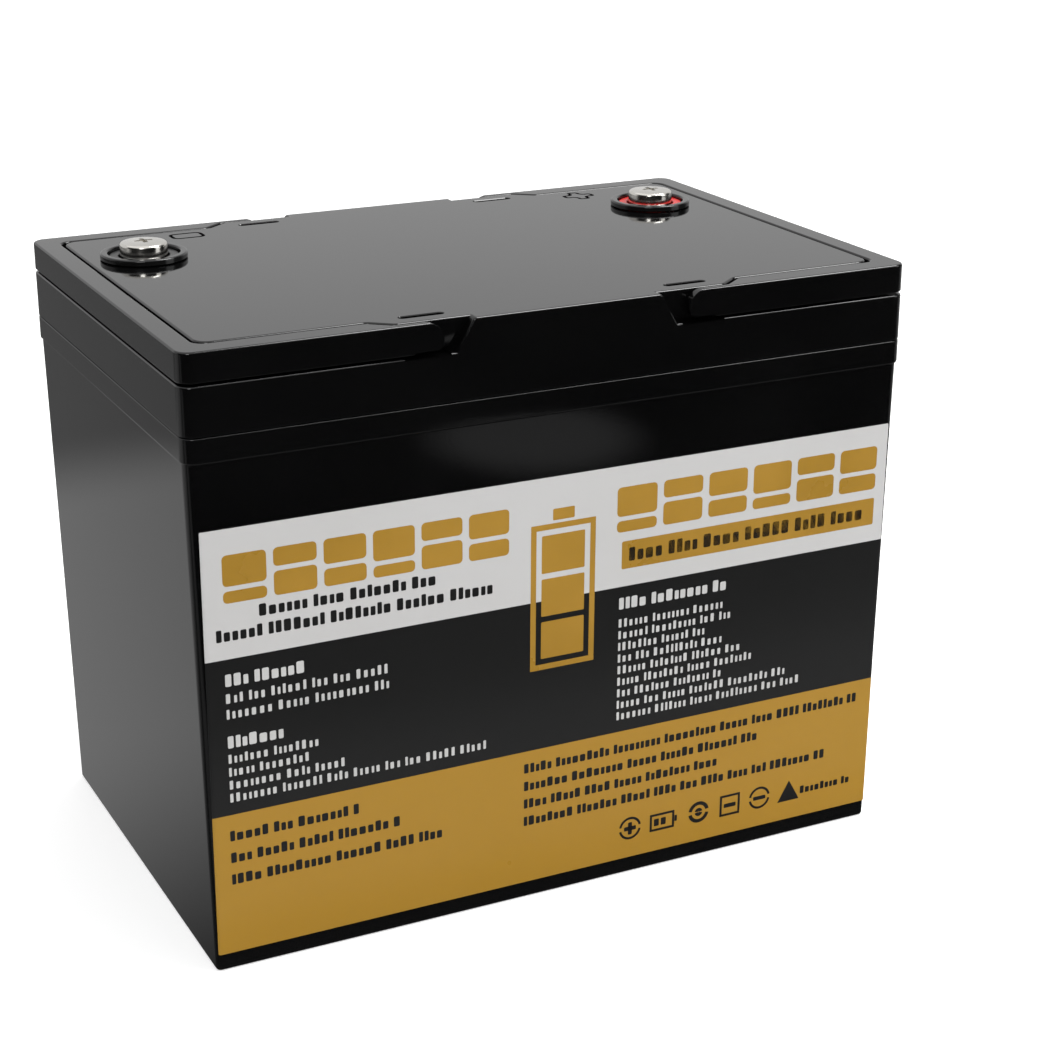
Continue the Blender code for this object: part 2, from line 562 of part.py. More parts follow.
def make_lug(name, at, heading, hole_radius, rise):
    """A ring lug with its hole's middle at the point and its crimp barrel pointing along the heading,
    above the plate where rise is 1 and below it where rise is -1."""
    plate = rounded_polygon([(-LUG_WIDTH / 2, -LUG_WIDTH / 2, 8.4 * MM), (LUG_REACH, -LUG_WIDTH / 2, 0),
                             (LUG_REACH, LUG_WIDTH / 2, 0), (-LUG_WIDTH / 2, LUG_WIDTH / 2, 8.4 * MM)])
    half, bore = LUG_THICKNESS / 2, CABLE_RADIUS + GAP
    turn = Matrix.Rotation(math.radians(heading), 4, "Z")
    middle = Vector((LUG_REACH + BARREL_LENGTH / 2 - MM, 0, rise * (BARREL_RADIUS - half)))
    shapes = {
        name: (loft(name, plate, [(-half, 0), (half, 0)]), Vector()),
        "hole": (cylinder("lug_hole", hole_radius, 4 * MM), Vector()),
        "barrel": (cylinder("barrel", BARREL_RADIUS, BARREL_LENGTH, 16, "X"), middle),
        "bore": (cylinder("bore", bore, BARREL_LENGTH, 16, "X"), middle + Vector((3 * MM, 0, 0))),
    }
    for mesh, offset in shapes.values():
        mesh.transform(turn @ Matrix.Translation(offset))
    lug = part(name, shapes[name][0], "copper", at)
    for operation, key in (("DIFFERENCE", "hole"), ("UNION", "barrel"), ("DIFFERENCE", "bore")):
        boolean(lug, operation, cutter(f"{name}_{key}", shapes[key][0], at))


# ---- inside the case -------------------------------------------------------------------------

SENSE_HOLE = (-PITCH, -62 * MM)  # over the arch of the first busbar


def block(name, size, centre, finish, round_by=0.0):
    piece = part(name, box(name, size), finish, centre)
    if round_by:
        bevel(piece, round_by, 1)
    return piece


def cell_x(number):
    """The middle of cell 1 to 4, counted from -X."""
    return (number - 2.5) * PITCH


def make_cells():
    for number in range(1, 5):
        centre = Vector((cell_x(number), 0, CELL_BOTTOM + CELL.z / 2))
        cell = part(f"cell_{number}", box("cell", CELL), "cell_wrap", centre)
        bevel(cell, 1.5 * MM, 1)
        for face, lean in (("front", -1), ("back", 1)):
            at = (centre.x, lean * POST_Y, CELL_TOP + (POST_HEIGHT - MM) / 2)
            post = cylinder("post", POST_RADIUS, POST_HEIGHT + MM, 16)
            boolean(cell, "UNION", cutter(f"cell_{number}_{face}_post", post, at))
        vent = cylinder("vent", 6 * MM, 2 * MM, 16)
        boolean(cell, "UNION", cutter(f"cell_{number}_vent", vent, (centre.x, 0, CELL_TOP - 0.5 * MM)))
    size = Vector((SPACER, CELL.y - 4 * MM, CELL.z - 4 * MM))
    for number in range(1, 4):
        x = (cell_x(number) + cell_x(number + 1)) / 2
        block(f"cell_spacer_{number}", size, (x, 0, CELL_BOTTOM + CELL.z / 2), "fibre_board")


def make_pack_frame():
    """End plates, steel bands, and the foam that fills the room round the pack."""
    middle = CELL_BOTTOM + CELL.z / 2
    pack_end = cell_x(4) + CELL.x / 2 + GAP
    plate_x = pack_end + END_PLATE / 2
    band_x, band_y = pack_end + END_PLATE + GAP, CELL.y / 2 + GAP
    foam_x = band_x + BAND_THICKNESS + GAP
    foam_end = LENGTH / 2 - BASE_DRAFT - WALL - GAP - 1.2 * MM
    for side, sign in (("left", -1), ("right", 1)):
        size = (END_PLATE, CELL.y, CELL.z - 2 * MM)
        block(f"{side}_end_plate", size, (sign * plate_x, 0, middle), "aluminium", 1.5 * MM)
        size = (foam_end - foam_x, CELL.y, CELL.z)
        block(f"{side}_end_foam", size, (sign * (foam_x + foam_end) / 2, 0, middle), "foam", 2 * MM)
    side_start = band_y + BAND_THICKNESS + GAP
    side_end = WIDTH / 2 - BASE_DRAFT - WALL - GAP - MM
    for side, sign in (("front", -1), ("back", 1)):
        size = (2 * foam_x, side_end - side_start, CELL.z)
        block(f"{side}_foam", size, (0, sign * (side_start + side_end) / 2, middle), "foam")
    pad = Vector((2 * foam_end, 2 * side_end, PAD_THICKNESS))
    block("bottom_pad", pad, (0, 0, FLOOR + GAP + PAD_THICKNESS / 2), "foam")
    outline = rounded_rectangle(band_x, band_y, 0.2 * MM, 1)
    for name, z in (("lower_band", middle - CELL.z / 4), ("upper_band", middle + CELL.z / 4)):
        low, high = z - BAND_WIDTH / 2, z + BAND_WIDTH / 2
        levels = [(low, 0), (high, 0), (high, -BAND_THICKNESS), (low, -BAND_THICKNESS)]
        part(name, loft(name, outline, levels, ring=True), "steel")


def make_busbars():
    """Three arched links join the cells in series, and a tab with a lug stud at each end."""
    arch, rise = 10 * MM, BAR_ARCH
    reach = PITCH / 2 + 9 * MM
    low, high = BAR_BOTTOM, BAR_BOTTOM + BAR_THICKNESS
    under = [(-reach, low), (-arch, low), (-arch + rise, low + rise), (arch - rise, low + rise),
             (arch, low), (reach, low)]
    over = [(reach, high), (arch + MM, high), (arch + MM - rise, high + rise),
            (rise - arch - MM, high + rise), (-arch - MM, high), (-reach, high)]
    outline = [Vector(p) for p in under + over]
    for number in range(1, 4):
        lean = 1 if number == 2 else -1
        y = -lean * POST_Y
        levels = [(y - BAR_WIDTH / 2, 0), (y + BAR_WIDTH / 2, 0)]
        bar = part(f"busbar_{number}", loft("busbar", outline, levels, upright=True), "copper")
        bar.location.x = (cell_x(number) + cell_x(number + 1)) / 2
    for pole, number, sign in (("negative", 1, -1), ("positive", 4, 1)):
        size = (24 * MM, 20 * MM, BAR_THICKNESS)
        at = Vector((cell_x(number), POST_Y, BAR_BOTTOM + BAR_THICKNESS / 2))
        tab = block(f"{pole}_tab", size, at, "copper", 0.4 * MM)
        stud = cylinder("stud", 3 * MM, 12 * MM, 16)
        boolean(tab, "UNION", cutter(f"{pole}_tab_stud", stud, at + Vector((0, 0, 6 * MM))))
        middle = Vector((at.x, at.y, TAB_LUG_MIDDLE))
        make_lug(f"{pole}_tab_lug", middle, -90, 3 * MM + GAP, 1)


def make_electronics():
    """Insulation board, tray, protection board with its lugs, heat sink and plug, wireless board."""
    board = Vector((198, 140, 0)) * MM + Vector((0, 0, BOARD_THICKNESS))
    cover = block("insulation_board", board, (0, 0, BOARD_BOTTOM + BOARD_THICKNESS / 2), "fibre_board")
    for side, number in (("left", 1), ("right", 4)):
        notch = box("notch", (34 * MM, 78 * MM, 6 * MM))
        at = (cell_x(number), POST_Y - 21 * MM, BOARD_BOTTOM)
        boolean(cover, "DIFFERENCE", cutter(f"{side}_notch", notch, at))
    hole = cylinder("sense_hole", 4 * MM, 6 * MM, 16)
    boolean(cover, "DIFFERENCE", cutter("sense_hole", hole, (*SENSE_HOLE, BOARD_BOTTOM)))
    base = Vector((BMS_SIZE.x, BMS_SIZE.y, 2 * MM))
    tray = block("bms_tray", base, (0, 0, TRAY_BOTTOM + MM), "white_plastic", 0.4 * MM)
    height = BMS_BOTTOM - GAP - TRAY_BOTTOM
    for x in (-1, 1):
        for y in (-1, 1):
            post = cylinder("post", 3 * MM, height - MM, 16)
            at = (x * 52 * MM, y * 38 * MM, TRAY_BOTTOM + (height + MM) / 2)
            boolean(tray, "UNION", cutter(f"tray_post_{x}_{y}", post, at))
    at = Vector((0, 0, BMS_BOTTOM + BMS_SIZE.z / 2))
    bms = part("protection_board", box("protection_board", BMS_SIZE), "circuit_board", at)
    for row, lean in (("front", -1), ("back", 1)):
        switches = box("switches", (90 * MM, 10 * MM, 4 * MM))
        middle = at + Vector((0, lean * 20 * MM, 2 * MM))
        boolean(bms, "UNION", cutter(f"{row}_switches", switches, middle))
    lug_middle = BMS_BOTTOM + BMS_SIZE.z + GAP + LUG_THICKNESS / 2
    for pole, x, heading in (("battery", BATTERY_STUD_X, 180), ("output", OUTPUT_STUD_X, 0)):
        stud = cylinder("stud", 3 * MM, 9 * MM, 16)
        boolean(bms, "UNION", cutter(f"{pole}_stud", stud, at + Vector((x, BMS_STUD_Y, 4 * MM))))
        make_lug(f"{pole}_lug", Vector((x, BMS_STUD_Y, lug_middle)), heading, 3 * MM + GAP, 1)
    make_heat_sink()
    plug = Vector((16, 7, 8)) * MM
    at = (-20 * MM, -BMS_SIZE.y / 2 + 6 * MM, BMS_BOTTOM + BMS_SIZE.z + GAP + plug.z / 2)
    block("balance_plug", plug, at, "white_plastic", 0.5 * MM)
    block("wireless_board", Vector((26, 36, 1.6)) * MM, (78 * MM, -20 * MM, TRAY_BOTTOM + 2 * MM),
          "circuit_board")


def make_heat_sink():
    size = Vector((100, 58, 3)) * MM
    at = Vector((0, 0, SINK_BOTTOM + size.z / 2))
    sink = part("heat_sink", box("heat_sink", size), "aluminium", at)
    fins = 7
    for fin in range(fins):
        y = (fin - (fins - 1) / 2) * 9 * MM
        blade = box("fin", (size.x - 2 * MM, 1.6 * MM, SINK_TOP - SINK_BOTTOM - MM))
        middle = (0, y, (SINK_BOTTOM + MM + SINK_TOP) / 2)
        boolean(sink, "UNION", cutter(f"fin_{fin}", blade, middle))


def lead(start, direction):
    """The straight start of a cable's route: inside a barrel and a little way out of it."""
    return [Vector(start) + Vector(direction) * reach for reach in (0, 7 * MM, 12 * MM)]


def make_cables():
    """Power cables from the pack's tabs through the protection board to the terminals, and the thin
    sense cable of the balance plug. Each power cable ends inside the barrels of its two lugs."""
    high = LUG_TOP - BARREL_RADIUS
    low = TAB_LUG_MIDDLE - LUG_THICKNESS / 2 + BARREL_RADIUS
    board = BMS_BOTTOM + BMS_SIZE.z + GAP + BARREL_RADIUS
    tab_x, tab_y = cell_x(4), POST_Y - 24 * MM
    mouth = LUG_REACH + BARREL_LENGTH / 2
    route = lead((tab_x, tab_y, low), (0, -1, 0))
    route += [Vector(p) * MM for p in ((77, 6, 145), (72, 1, 158), (64, 6, 171), (57, 20, 178.5),
                                       (57, 34, 180.5))]
    route += reversed(lead((POSITIVE_X - mouth, TERMINAL_Y, high), (-1, 0, 0)))
    tube("positive_cable", route, CABLE_RADIUS, "red_insulation")

    route = lead((-tab_x, tab_y, low), (0, -1, 0))
    route += [Vector(p) * MM for p in ((-82, 8, 141), (-90, 12, 149), (-90, 25, 153.5))]
    route += reversed(lead((BATTERY_STUD_X - 23 * MM, BMS_STUD_Y, board), (-1, 0, 0)))
    tube("battery_cable", route, CABLE_RADIUS, "black_insulation")

    route = lead((OUTPUT_STUD_X + 23 * MM, BMS_STUD_Y, board), (1, 0, 0))
    route += [Vector(p) * MM for p in ((44, 37, 161), (43, 38, 173), (27, 39, 180.3), (0, 40, 181.5),
                                       (-40, 39.5, 180.8))]
    route += reversed(lead((NEGATIVE_X + mouth, TERMINAL_Y, high), (1, 0, 0)))
    tube("negative_cable", route, CABLE_RADIUS, "black_insulation")

    x, y = SENSE_HOLE
    plug_y, plug_z = -BMS_SIZE.y / 2 + 2 * MM, BMS_BOTTOM + 6 * MM
    route = [(-20 * MM, plug_y, plug_z), (-20 * MM, plug_y - 7 * MM, plug_z),
             (-26 * MM, -58 * MM, plug_z - 6 * MM), (x + 10 * MM, y, BOARD_BOTTOM + 8 * MM),
             (x + MM, y, BOARD_BOTTOM + 6 * MM), (x, y, BOARD_BOTTOM)]
    tube("sense_cable", route, 1.5 * MM, "black_insulation", spacing=4)


def main():
    start()
    make_case()
    make_lid()
    make_label()
    both_sides(make_handle)
    both_sides(make_terminal)
    make_cells()
    make_pack_frame()
    make_busbars()
    make_electronics()
    make_cables()


main()
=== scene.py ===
"""Looks of the deep cycle battery: fine glossy mouldings, printed label, plated terminals, the cell
pack inside, a studio camera and lights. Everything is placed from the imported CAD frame, in metres."""

import math
import random

import bmesh
import bpy
from mathutils import Matrix, Vector


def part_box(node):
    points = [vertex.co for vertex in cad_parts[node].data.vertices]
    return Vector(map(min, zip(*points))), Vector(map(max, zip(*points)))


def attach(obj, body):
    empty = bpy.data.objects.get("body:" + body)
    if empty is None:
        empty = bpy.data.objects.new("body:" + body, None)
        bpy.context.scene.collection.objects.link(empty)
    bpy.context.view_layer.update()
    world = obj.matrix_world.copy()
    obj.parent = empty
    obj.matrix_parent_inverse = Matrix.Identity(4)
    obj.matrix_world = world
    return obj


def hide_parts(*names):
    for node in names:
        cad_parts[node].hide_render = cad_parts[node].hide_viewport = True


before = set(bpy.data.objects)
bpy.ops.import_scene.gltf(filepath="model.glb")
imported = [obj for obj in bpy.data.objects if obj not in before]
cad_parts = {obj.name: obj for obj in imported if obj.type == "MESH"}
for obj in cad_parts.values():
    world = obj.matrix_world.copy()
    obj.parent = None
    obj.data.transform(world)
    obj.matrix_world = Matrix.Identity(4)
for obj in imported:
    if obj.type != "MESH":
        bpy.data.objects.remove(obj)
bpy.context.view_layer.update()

MM = 0.001
PITCH = 1.25 * MM               # M8 coarse thread

# ---- places read from the frame --------------------------------------------------------------
LID_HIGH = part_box("lid")[1]
HANDLE_LOW, HANDLE_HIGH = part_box("right_handle")
LABEL_LOW, LABEL_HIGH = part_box("front_label")
HALF_LENGTH, HALF_WIDTH = LID_HIGH.x, LID_HIGH.y
PANEL = LID_HIGH.z
RIM_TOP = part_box("case")[1].z
BATTERY = "battery"

# ---- details of the mouldings that the frame does not name -------------------------------------
CORNER = 5 * MM
WALL = 3 * MM
FLOOR = 3.5 * MM
BASE_DRAFT, WALL_STEP = 3.2 * MM, 0.7 * MM
RIM_BOTTOM = RIM_TOP - 8.3 * MM
LID_BOTTOM = RIM_TOP + 0.3 * MM
LEDGE = PANEL - 10.6 * MM
PANEL_THICKNESS = 2.2 * MM
TOP_FILLET = 0.8 * MM
PANEL_HALF_LENGTH, PANEL_HALF_WIDTH, NECK_HALF_WIDTH = 121.05 * MM, 74.55 * MM, 80.4 * MM
NECK_START, NECK_END = 66.2 * MM, 58.9 * MM
BLOCK_TOP_HALF, BLOCK_FOOT_HALF = 33.5 * MM, 39.7 * MM
GROOVE = 0.9 * MM
ARM_END = HANDLE_LOW.x
PIVOT_X, PIVOT_Z = 49.5 * MM, 206.1 * MM
RELIEF = 0.6 * MM


# ---- outlines and meshes ---------------------------------------------------------------------

def rounded_polygon(corners, steps=10):
    """Corners (x, y, radius) as an outline with an arc at each corner that has a radius."""
    outline = []
    for i, (x, y, radius) in enumerate(corners):
        corner = Vector((x, y))
        if not radius:
            outline.append(corner)
            continue
        before = (Vector(corners[i - 1][:2]) - corner).normalized()
        after = (Vector(corners[(i + 1) % len(corners)][:2]) - corner).normalized()
        half = before.angle(after) / 2
        centre = corner + (before + after).normalized() * (radius / math.sin(half))
        first = corner + before * (radius / math.tan(half)) - centre
        last = corner + after * (radius / math.tan(half)) - centre
        turn = math.atan2(first.cross(last), first.dot(last))
        for step in range(steps + 1):
            outline.append(centre + Matrix.Rotation(turn * step / steps, 2) @ first)
    return outline


def rounded_rectangle(half_x, half_y, radius, steps=10):
    corners = ((1, 1), (-1, 1), (-1, -1), (1, -1))
    return rounded_polygon([(x * half_x, y * half_y, radius) for x, y in corners], steps)


def cross(half, arm, radius=0, steps=6):
    """A plus sign whose arms are twice the half width wide and reach the arm length."""
    corners = []
    for quarter in range(4):
        turn = Matrix.Rotation(math.pi / 2 * quarter, 2)
        for x, y in ((half, half), (half, arm), (-half, arm)):
            corners.append((*(turn @ Vector((x, y))), radius))
    return rounded_polygon(corners, steps)


def inset(outline, distance):
    """The anticlockwise outline moved inwards by the distance."""
    moved = []
    for i, point in enumerate(outline):
        into = (point - outline[i - 1]).normalized()
        onward = (outline[(i + 1) % len(outline)] - point).normalized()
        sides = Vector((-into.y, into.x)), Vector((-onward.y, onward.x))
        moved.append(point + (sides[0] + sides[1]) * (distance / (1 + sides[0].dot(sides[1]))))
    return moved


def to_mesh(name, shape):
    bmesh.ops.recalc_face_normals(shape, faces=shape.faces)
    mesh = bpy.data.meshes.new(name)
    shape.to_mesh(mesh)
    shape.free()
    return mesh


def loft(name, outline, levels, ring=False, upright=False):
    """A mesh through copies of the outline, one at each level (z, inset), capped at both ends, or
    joined end to start as a ring. An upright loft has its outline in XZ and its levels along -Y."""
    shape = bmesh.new()
    rows = [[shape.verts.new((p.x, p.y, z)) for p in inset(outline, distance)]
            for z, distance in levels]
    pairs = list(zip(rows, rows[1:]))
    if ring:
        pairs.append((rows[-1], rows[0]))
    else:
        shape.faces.new(reversed(rows[0]))
        shape.faces.new(rows[-1])
    for low, high in pairs:
        for i in range(len(low)):
            shape.faces.new((low[i - 1], low[i], high[i], high[i - 1]))
    if upright:
        bmesh.ops.transform(shape, matrix=Matrix.Rotation(math.pi / 2, 4, "X"), verts=shape.verts)
    return to_mesh(name, shape)


def rounded_top(z, radius, steps=6):
    """Levels that round an edge over into the flat top at z."""
    turns = [math.pi / 2 * step / steps for step in range(steps + 1)]
    return [(z - radius + radius * math.sin(t), radius - radius * math.cos(t)) for t in turns]


def rounded_foot(z, radius, steps=4):
    """Levels that round an edge up from the flat bottom at z."""
    turns = [math.pi / 2 * (1 - step / steps) for step in range(steps + 1)]
    return [(z + radius - radius * math.sin(t), radius - radius * math.cos(t)) for t in turns]


def cylinder(name, radius, bottom, top, segments=64, axis="Z"):
    turn = {"Y": Matrix.Rotation(math.pi / 2, 4, "X"), "Z": Matrix()}[axis]
    shape = bmesh.new()
    middle = Matrix.Translation((0, 0, (bottom + top) / 2))
    bmesh.ops.create_cone(shape, cap_ends=True, segments=segments, radius1=radius, radius2=radius,
                          depth=top - bottom, matrix=turn @ middle)
    return to_mesh(name, shape)


def box_mesh(name, low, high):
    low, high = Vector(low), Vector(high)
    shape = bmesh.new()
    matrix = Matrix.Translation((low + high) / 2) @ Matrix.Diagonal((*(high - low), 1))
    bmesh.ops.create_cube(shape, size=1, matrix=matrix)
    return to_mesh(name, shape)


def lathe(name, profile, steps=96, closed=True):
    """A turned mesh from a profile of (radius, z). A profile that meets the axis is left open."""
    shape = bmesh.new()
    rows = []
    for radius, z in profile:
        if radius < 1e-9:
            rows.append([shape.verts.new((0, 0, z))])
            continue
        turns = [2 * math.pi * step / steps for step in range(steps)]
        rows.append([shape.verts.new((radius * math.cos(t), radius * math.sin(t), z)) for t in turns])
    pairs = list(zip(rows, rows[1:])) + ([(rows[-1], rows[0])] if closed else [])
    for a, b in pairs:
        for i in range(steps):
            loop = {a[i % len(a)]: 0, a[(i + 1) % len(a)]: 0, b[(i + 1) % len(b)]: 0, b[i % len(b)]: 0}
            shape.faces.new(list(loop))
    return to_mesh(name, shape)


def piece(name, mesh, finish, body, stands_for=(), at=(0, 0, 0), sharp=30):
    """A shown piece that rides on a body, stands for CAD nodes and carries the finish it is given."""
    mesh.shade_smooth()
    mesh.set_sharp_from_angle(angle=math.radians(sharp))
    mesh.materials.append(finish)
    made = bpy.data.objects.new(name, mesh)
    made.location = at
    bpy.context.scene.collection.objects.link(made)
    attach(made, body)
    if stands_for:
        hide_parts(*stands_for)
    return made


def guide(name, mesh, at=(0, 0, 0)):
    """A shape used only by Booleans, removed once they are applied."""
    made = bpy.data.objects.new(name, mesh)
    made.location = at
    made.hide_render = True
    bpy.context.scene.collection.objects.link(made)
    return made


def carve(mesh, steps):
    """The mesh after a list of exact Booleans (operation, other mesh, place)."""
    body = guide("carved", mesh)
    others = []
    for operation, other, at in steps:
        others.append(guide("cutter", other, at))
        change = body.modifiers.new("step", "BOOLEAN")
        change.operation = operation
        change.solver = "EXACT"
        change.object = others[-1]
    graph = bpy.context.evaluated_depsgraph_get()
    made = bpy.data.meshes.new_from_object(body.evaluated_get(graph))
    for old in [body, *others]:
        bpy.data.objects.remove(old, do_unlink=True)
    return made


def even_normals(obj):
    """Keeps broad flat faces flat where they meet small rounded edges."""
    change = obj.modifiers.new("even_normals", "WEIGHTED_NORMAL")
    change.keep_sharp = True
    change.weight = 100


def soften(obj, width):
    """Small rounds on the edges that are still sharp."""
    change = obj.modifiers.new("soft_edges", "BEVEL")
    change.width = width
    change.segments = 3
    change.limit_method = "ANGLE"
    change.angle_limit = math.radians(50)
    change.use_clamp_overlap = True
    change.miter_outer = "MITER_ARC"


# ---- materials -------------------------------------------------------------------------------

def shader_nodes(name):
    made = bpy.data.materials.new(name)
    made.use_nodes = True
    nodes, links = made.node_tree.nodes, made.node_tree.links
    return made, nodes, links, nodes["Principled BSDF"]


def noise_texture(nodes, links, scale, detail=4, stretch=(1, 1, 1)):
    """Noise in object space, with its own stretch along each axis."""
    place = nodes.new("ShaderNodeTexCoord")
    mapping = nodes.new("ShaderNodeMapping")
    mapping.inputs["Scale"].default_value = stretch
    texture = nodes.new("ShaderNodeTexNoise")
    texture.inputs["Scale"].default_value = scale
    texture.inputs["Detail"].default_value = detail
    links.new(place.outputs["Object"], mapping.inputs["Vector"])
    links.new(mapping.outputs["Vector"], texture.inputs["Vector"])
    return texture.outputs["Fac"]


def ranged(nodes, links, value, low, high):
    """A texture value mapped to a range."""
    change = nodes.new("ShaderNodeMapRange")
    change.inputs["From Min"].default_value = 0.3
    change.inputs["From Max"].default_value = 0.7
    change.inputs["To Min"].default_value = low
    change.inputs["To Max"].default_value = high
    links.new(value, change.inputs["Value"])
    return change.outputs["Result"]


def mixed_colour(nodes, links, value, dark, light):
    """A colour between two, by a texture value."""
    ramp = nodes.new("ShaderNodeValToRGB")
    ramp.color_ramp.elements[0].position = 0.35
    ramp.color_ramp.elements[1].position = 0.65
    ramp.color_ramp.elements[0].color = (*dark, 1)
    ramp.color_ramp.elements[1].color = (*light, 1)
    links.new(value, ramp.inputs["Fac"])
    return ramp.outputs["Color"]


def bump(nodes, links, shader, value, strength, distance):
    relief = nodes.new("ShaderNodeBump")
    relief.inputs["Strength"].default_value = strength
    relief.inputs["Distance"].default_value = distance
    links.new(value, relief.inputs["Height"])
    links.new(relief.outputs["Normal"], shader.inputs["Normal"])


def plastic(name, dark, light, rough, grain=900, relief=0.05):
    """Moulded plastic: colour and gloss drift over centimetres, with a fine skin of orange peel."""
    made, nodes, links, shader = shader_nodes(name)
    drift = noise_texture(nodes, links, 28, 5)
    links.new(mixed_colour(nodes, links, drift, dark, light), shader.inputs["Base Color"])
    links.new(ranged(nodes, links, drift, *rough), shader.inputs["Roughness"])
    peel = noise_texture(nodes, links, grain, 2)
    bump(nodes, links, shader, peel, relief, 0.0001)
    return made


def metal(name, dark, light, rough, stretch=(1, 1, 1), grain=600, relief=0.1):
    """Metal with fine tool or rolling marks along one direction."""
    made, nodes, links, shader = shader_nodes(name)
    marks = noise_texture(nodes, links, grain, 3, stretch)
    drift = noise_texture(nodes, links, 60, 4)
    links.new(mixed_colour(nodes, links, drift, dark, light), shader.inputs["Base Color"])
    links.new(ranged(nodes, links, marks, *rough), shader.inputs["Roughness"])
    shader.inputs["Metallic"].default_value = 1.0
    bump(nodes, links, shader, marks, relief, 0.00005)
    return made


def film(name, bottom, low, high, top):
    """Printed film in three flat bands by height, under one clear gloss layer."""
    made, nodes, links, shader = shader_nodes(name)
    place = nodes.new("ShaderNodeTexCoord")
    split = nodes.new("ShaderNodeSeparateXYZ")
    links.new(place.outputs["Object"], split.inputs["Vector"])
    height = nodes.new("ShaderNodeMapRange")
    height.inputs["From Min"].default_value = bottom
    height.inputs["From Max"].default_value = top
    links.new(split.outputs["Z"], height.inputs["Value"])
    ramp = nodes.new("ShaderNodeValToRGB")
    ramp.color_ramp.interpolation = "CONSTANT"
    tall = top - bottom
    stops = ((0, GOLD), ((low - bottom) / tall, INK_BLACK), ((high - bottom) / tall, PAPER))
    for i, (position, colour) in enumerate(stops):
        if i > 1:
            ramp.color_ramp.elements.new(position)
        ramp.color_ramp.elements[i].position = position
        ramp.color_ramp.elements[i].color = (*colour, 1)
    links.new(height.outputs["Result"], ramp.inputs["Fac"])
    tint = nodes.new("ShaderNodeMix")
    tint.data_type, tint.blend_type = "RGBA", "MULTIPLY"
    links.new(ramp.outputs["Color"], tint.inputs["A"])
    drift = noise_texture(nodes, links, 14, 4)
    links.new(mixed_colour(nodes, links, drift, (0.975, 0.975, 0.97), (1, 1, 1)), tint.inputs["B"])
    tint.inputs["Factor"].default_value = 1
    links.new(tint.outputs["Result"], shader.inputs["Base Color"])
    links.new(ranged(nodes, links, drift, 0.27, 0.31), shader.inputs["Roughness"])
    shader.inputs["Coat Weight"].default_value = 0.2
    shader.inputs["Coat Roughness"].default_value = 0.12
    bump(nodes, links, shader, noise_texture(nodes, links, 240, 3), 0.03, 0.0001)
    return made


def ink(name, colour):
    """One printed colour, with the fine unevenness of screen printing."""
    dark = tuple(0.86 * c for c in colour)
    return plastic(name, dark, colour, (0.26, 0.36), grain=3000, relief=0.04)


def layered(name, lower, upper, height, metal_above=False, rough=(0.3, 0.45), grain=500, relief=0.08):
    """Two colours, one above a height of the piece and one below it, each with its own fine grain."""
    made, nodes, links, shader = shader_nodes(name)
    place = nodes.new("ShaderNodeTexCoord")
    split = nodes.new("ShaderNodeSeparateXYZ")
    links.new(place.outputs["Object"], split.inputs["Vector"])
    above = nodes.new("ShaderNodeMath")
    above.operation = "GREATER_THAN"
    above.inputs[1].default_value = height
    links.new(split.outputs["Z"], above.inputs[0])
    drift = noise_texture(nodes, links, 35, 5)
    pick = nodes.new("ShaderNodeMix")
    pick.data_type = "RGBA"
    links.new(above.outputs["Value"], pick.inputs["Factor"])
    for socket, colour in (("A", lower), ("B", upper)):
        shade = mixed_colour(nodes, links, drift, tuple(0.8 * c for c in colour), colour)
        links.new(shade, pick.inputs[socket])
    links.new(pick.outputs["Result"], shader.inputs["Base Color"])
    if metal_above:
        links.new(above.outputs["Value"], shader.inputs["Metallic"])
    links.new(ranged(nodes, links, drift, *rough), shader.inputs["Roughness"])
    bump(nodes, links, shader, noise_texture(nodes, links, grain, 3), relief, 0.0001)
    return made


def foam_rubber(name, colour):
    """Closed-cell foam: small bubbles cut open over the surface."""
    made, nodes, links, shader = shader_nodes(name)
    place = nodes.new("ShaderNodeTexCoord")
    cells = nodes.new("ShaderNodeTexVoronoi")
    cells.inputs["Scale"].default_value = 900
    links.new(place.outputs["Object"], cells.inputs["Vector"])
    bright = tuple(1.7 * c for c in colour)
    shade = mixed_colour(nodes, links, cells.outputs["Distance"], colour, bright)
    links.new(shade, shader.inputs["Base Color"])
    shader.inputs["Roughness"].default_value = 0.95
    shader.inputs["Sheen Weight"].default_value = 0.25
    bump(nodes, links, shader, cells.outputs["Distance"], 0.6, 0.0004)
    return made


def woven(name, dark, light, rough):
    """Glass-fibre board: crossed yarns that show through the resin."""
    made, nodes, links, shader = shader_nodes(name)
    place = nodes.new("ShaderNodeTexCoord")
    waves = []
    for direction in ("X", "Y"):
        wave = nodes.new("ShaderNodeTexWave")
        wave.bands_direction = direction
        wave.inputs["Scale"].default_value = 260
        wave.inputs["Distortion"].default_value = 0.6
        links.new(place.outputs["Object"], wave.inputs["Vector"])
        waves.append(wave.outputs["Fac"])
    weave = nodes.new("ShaderNodeMath")
    weave.operation = "MULTIPLY"
    links.new(waves[0], weave.inputs[0])
    links.new(waves[1], weave.inputs[1])
    links.new(mixed_colour(nodes, links, weave.outputs["Value"], dark, light), shader.inputs["Base Color"])
    links.new(ranged(nodes, links, weave.outputs["Value"], *rough), shader.inputs["Roughness"])
    bump(nodes, links, shader, weave.outputs["Value"], 0.15, 0.0001)
    return made


GOLD, INK_BLACK, PAPER = (0.44, 0.237, 0.018), (0.012, 0.012, 0.012), (0.60, 0.595, 0.59)
BAND_LOW, BAND_HIGH = 56.1 * MM, 110.5 * MM     # edges of the label's black band

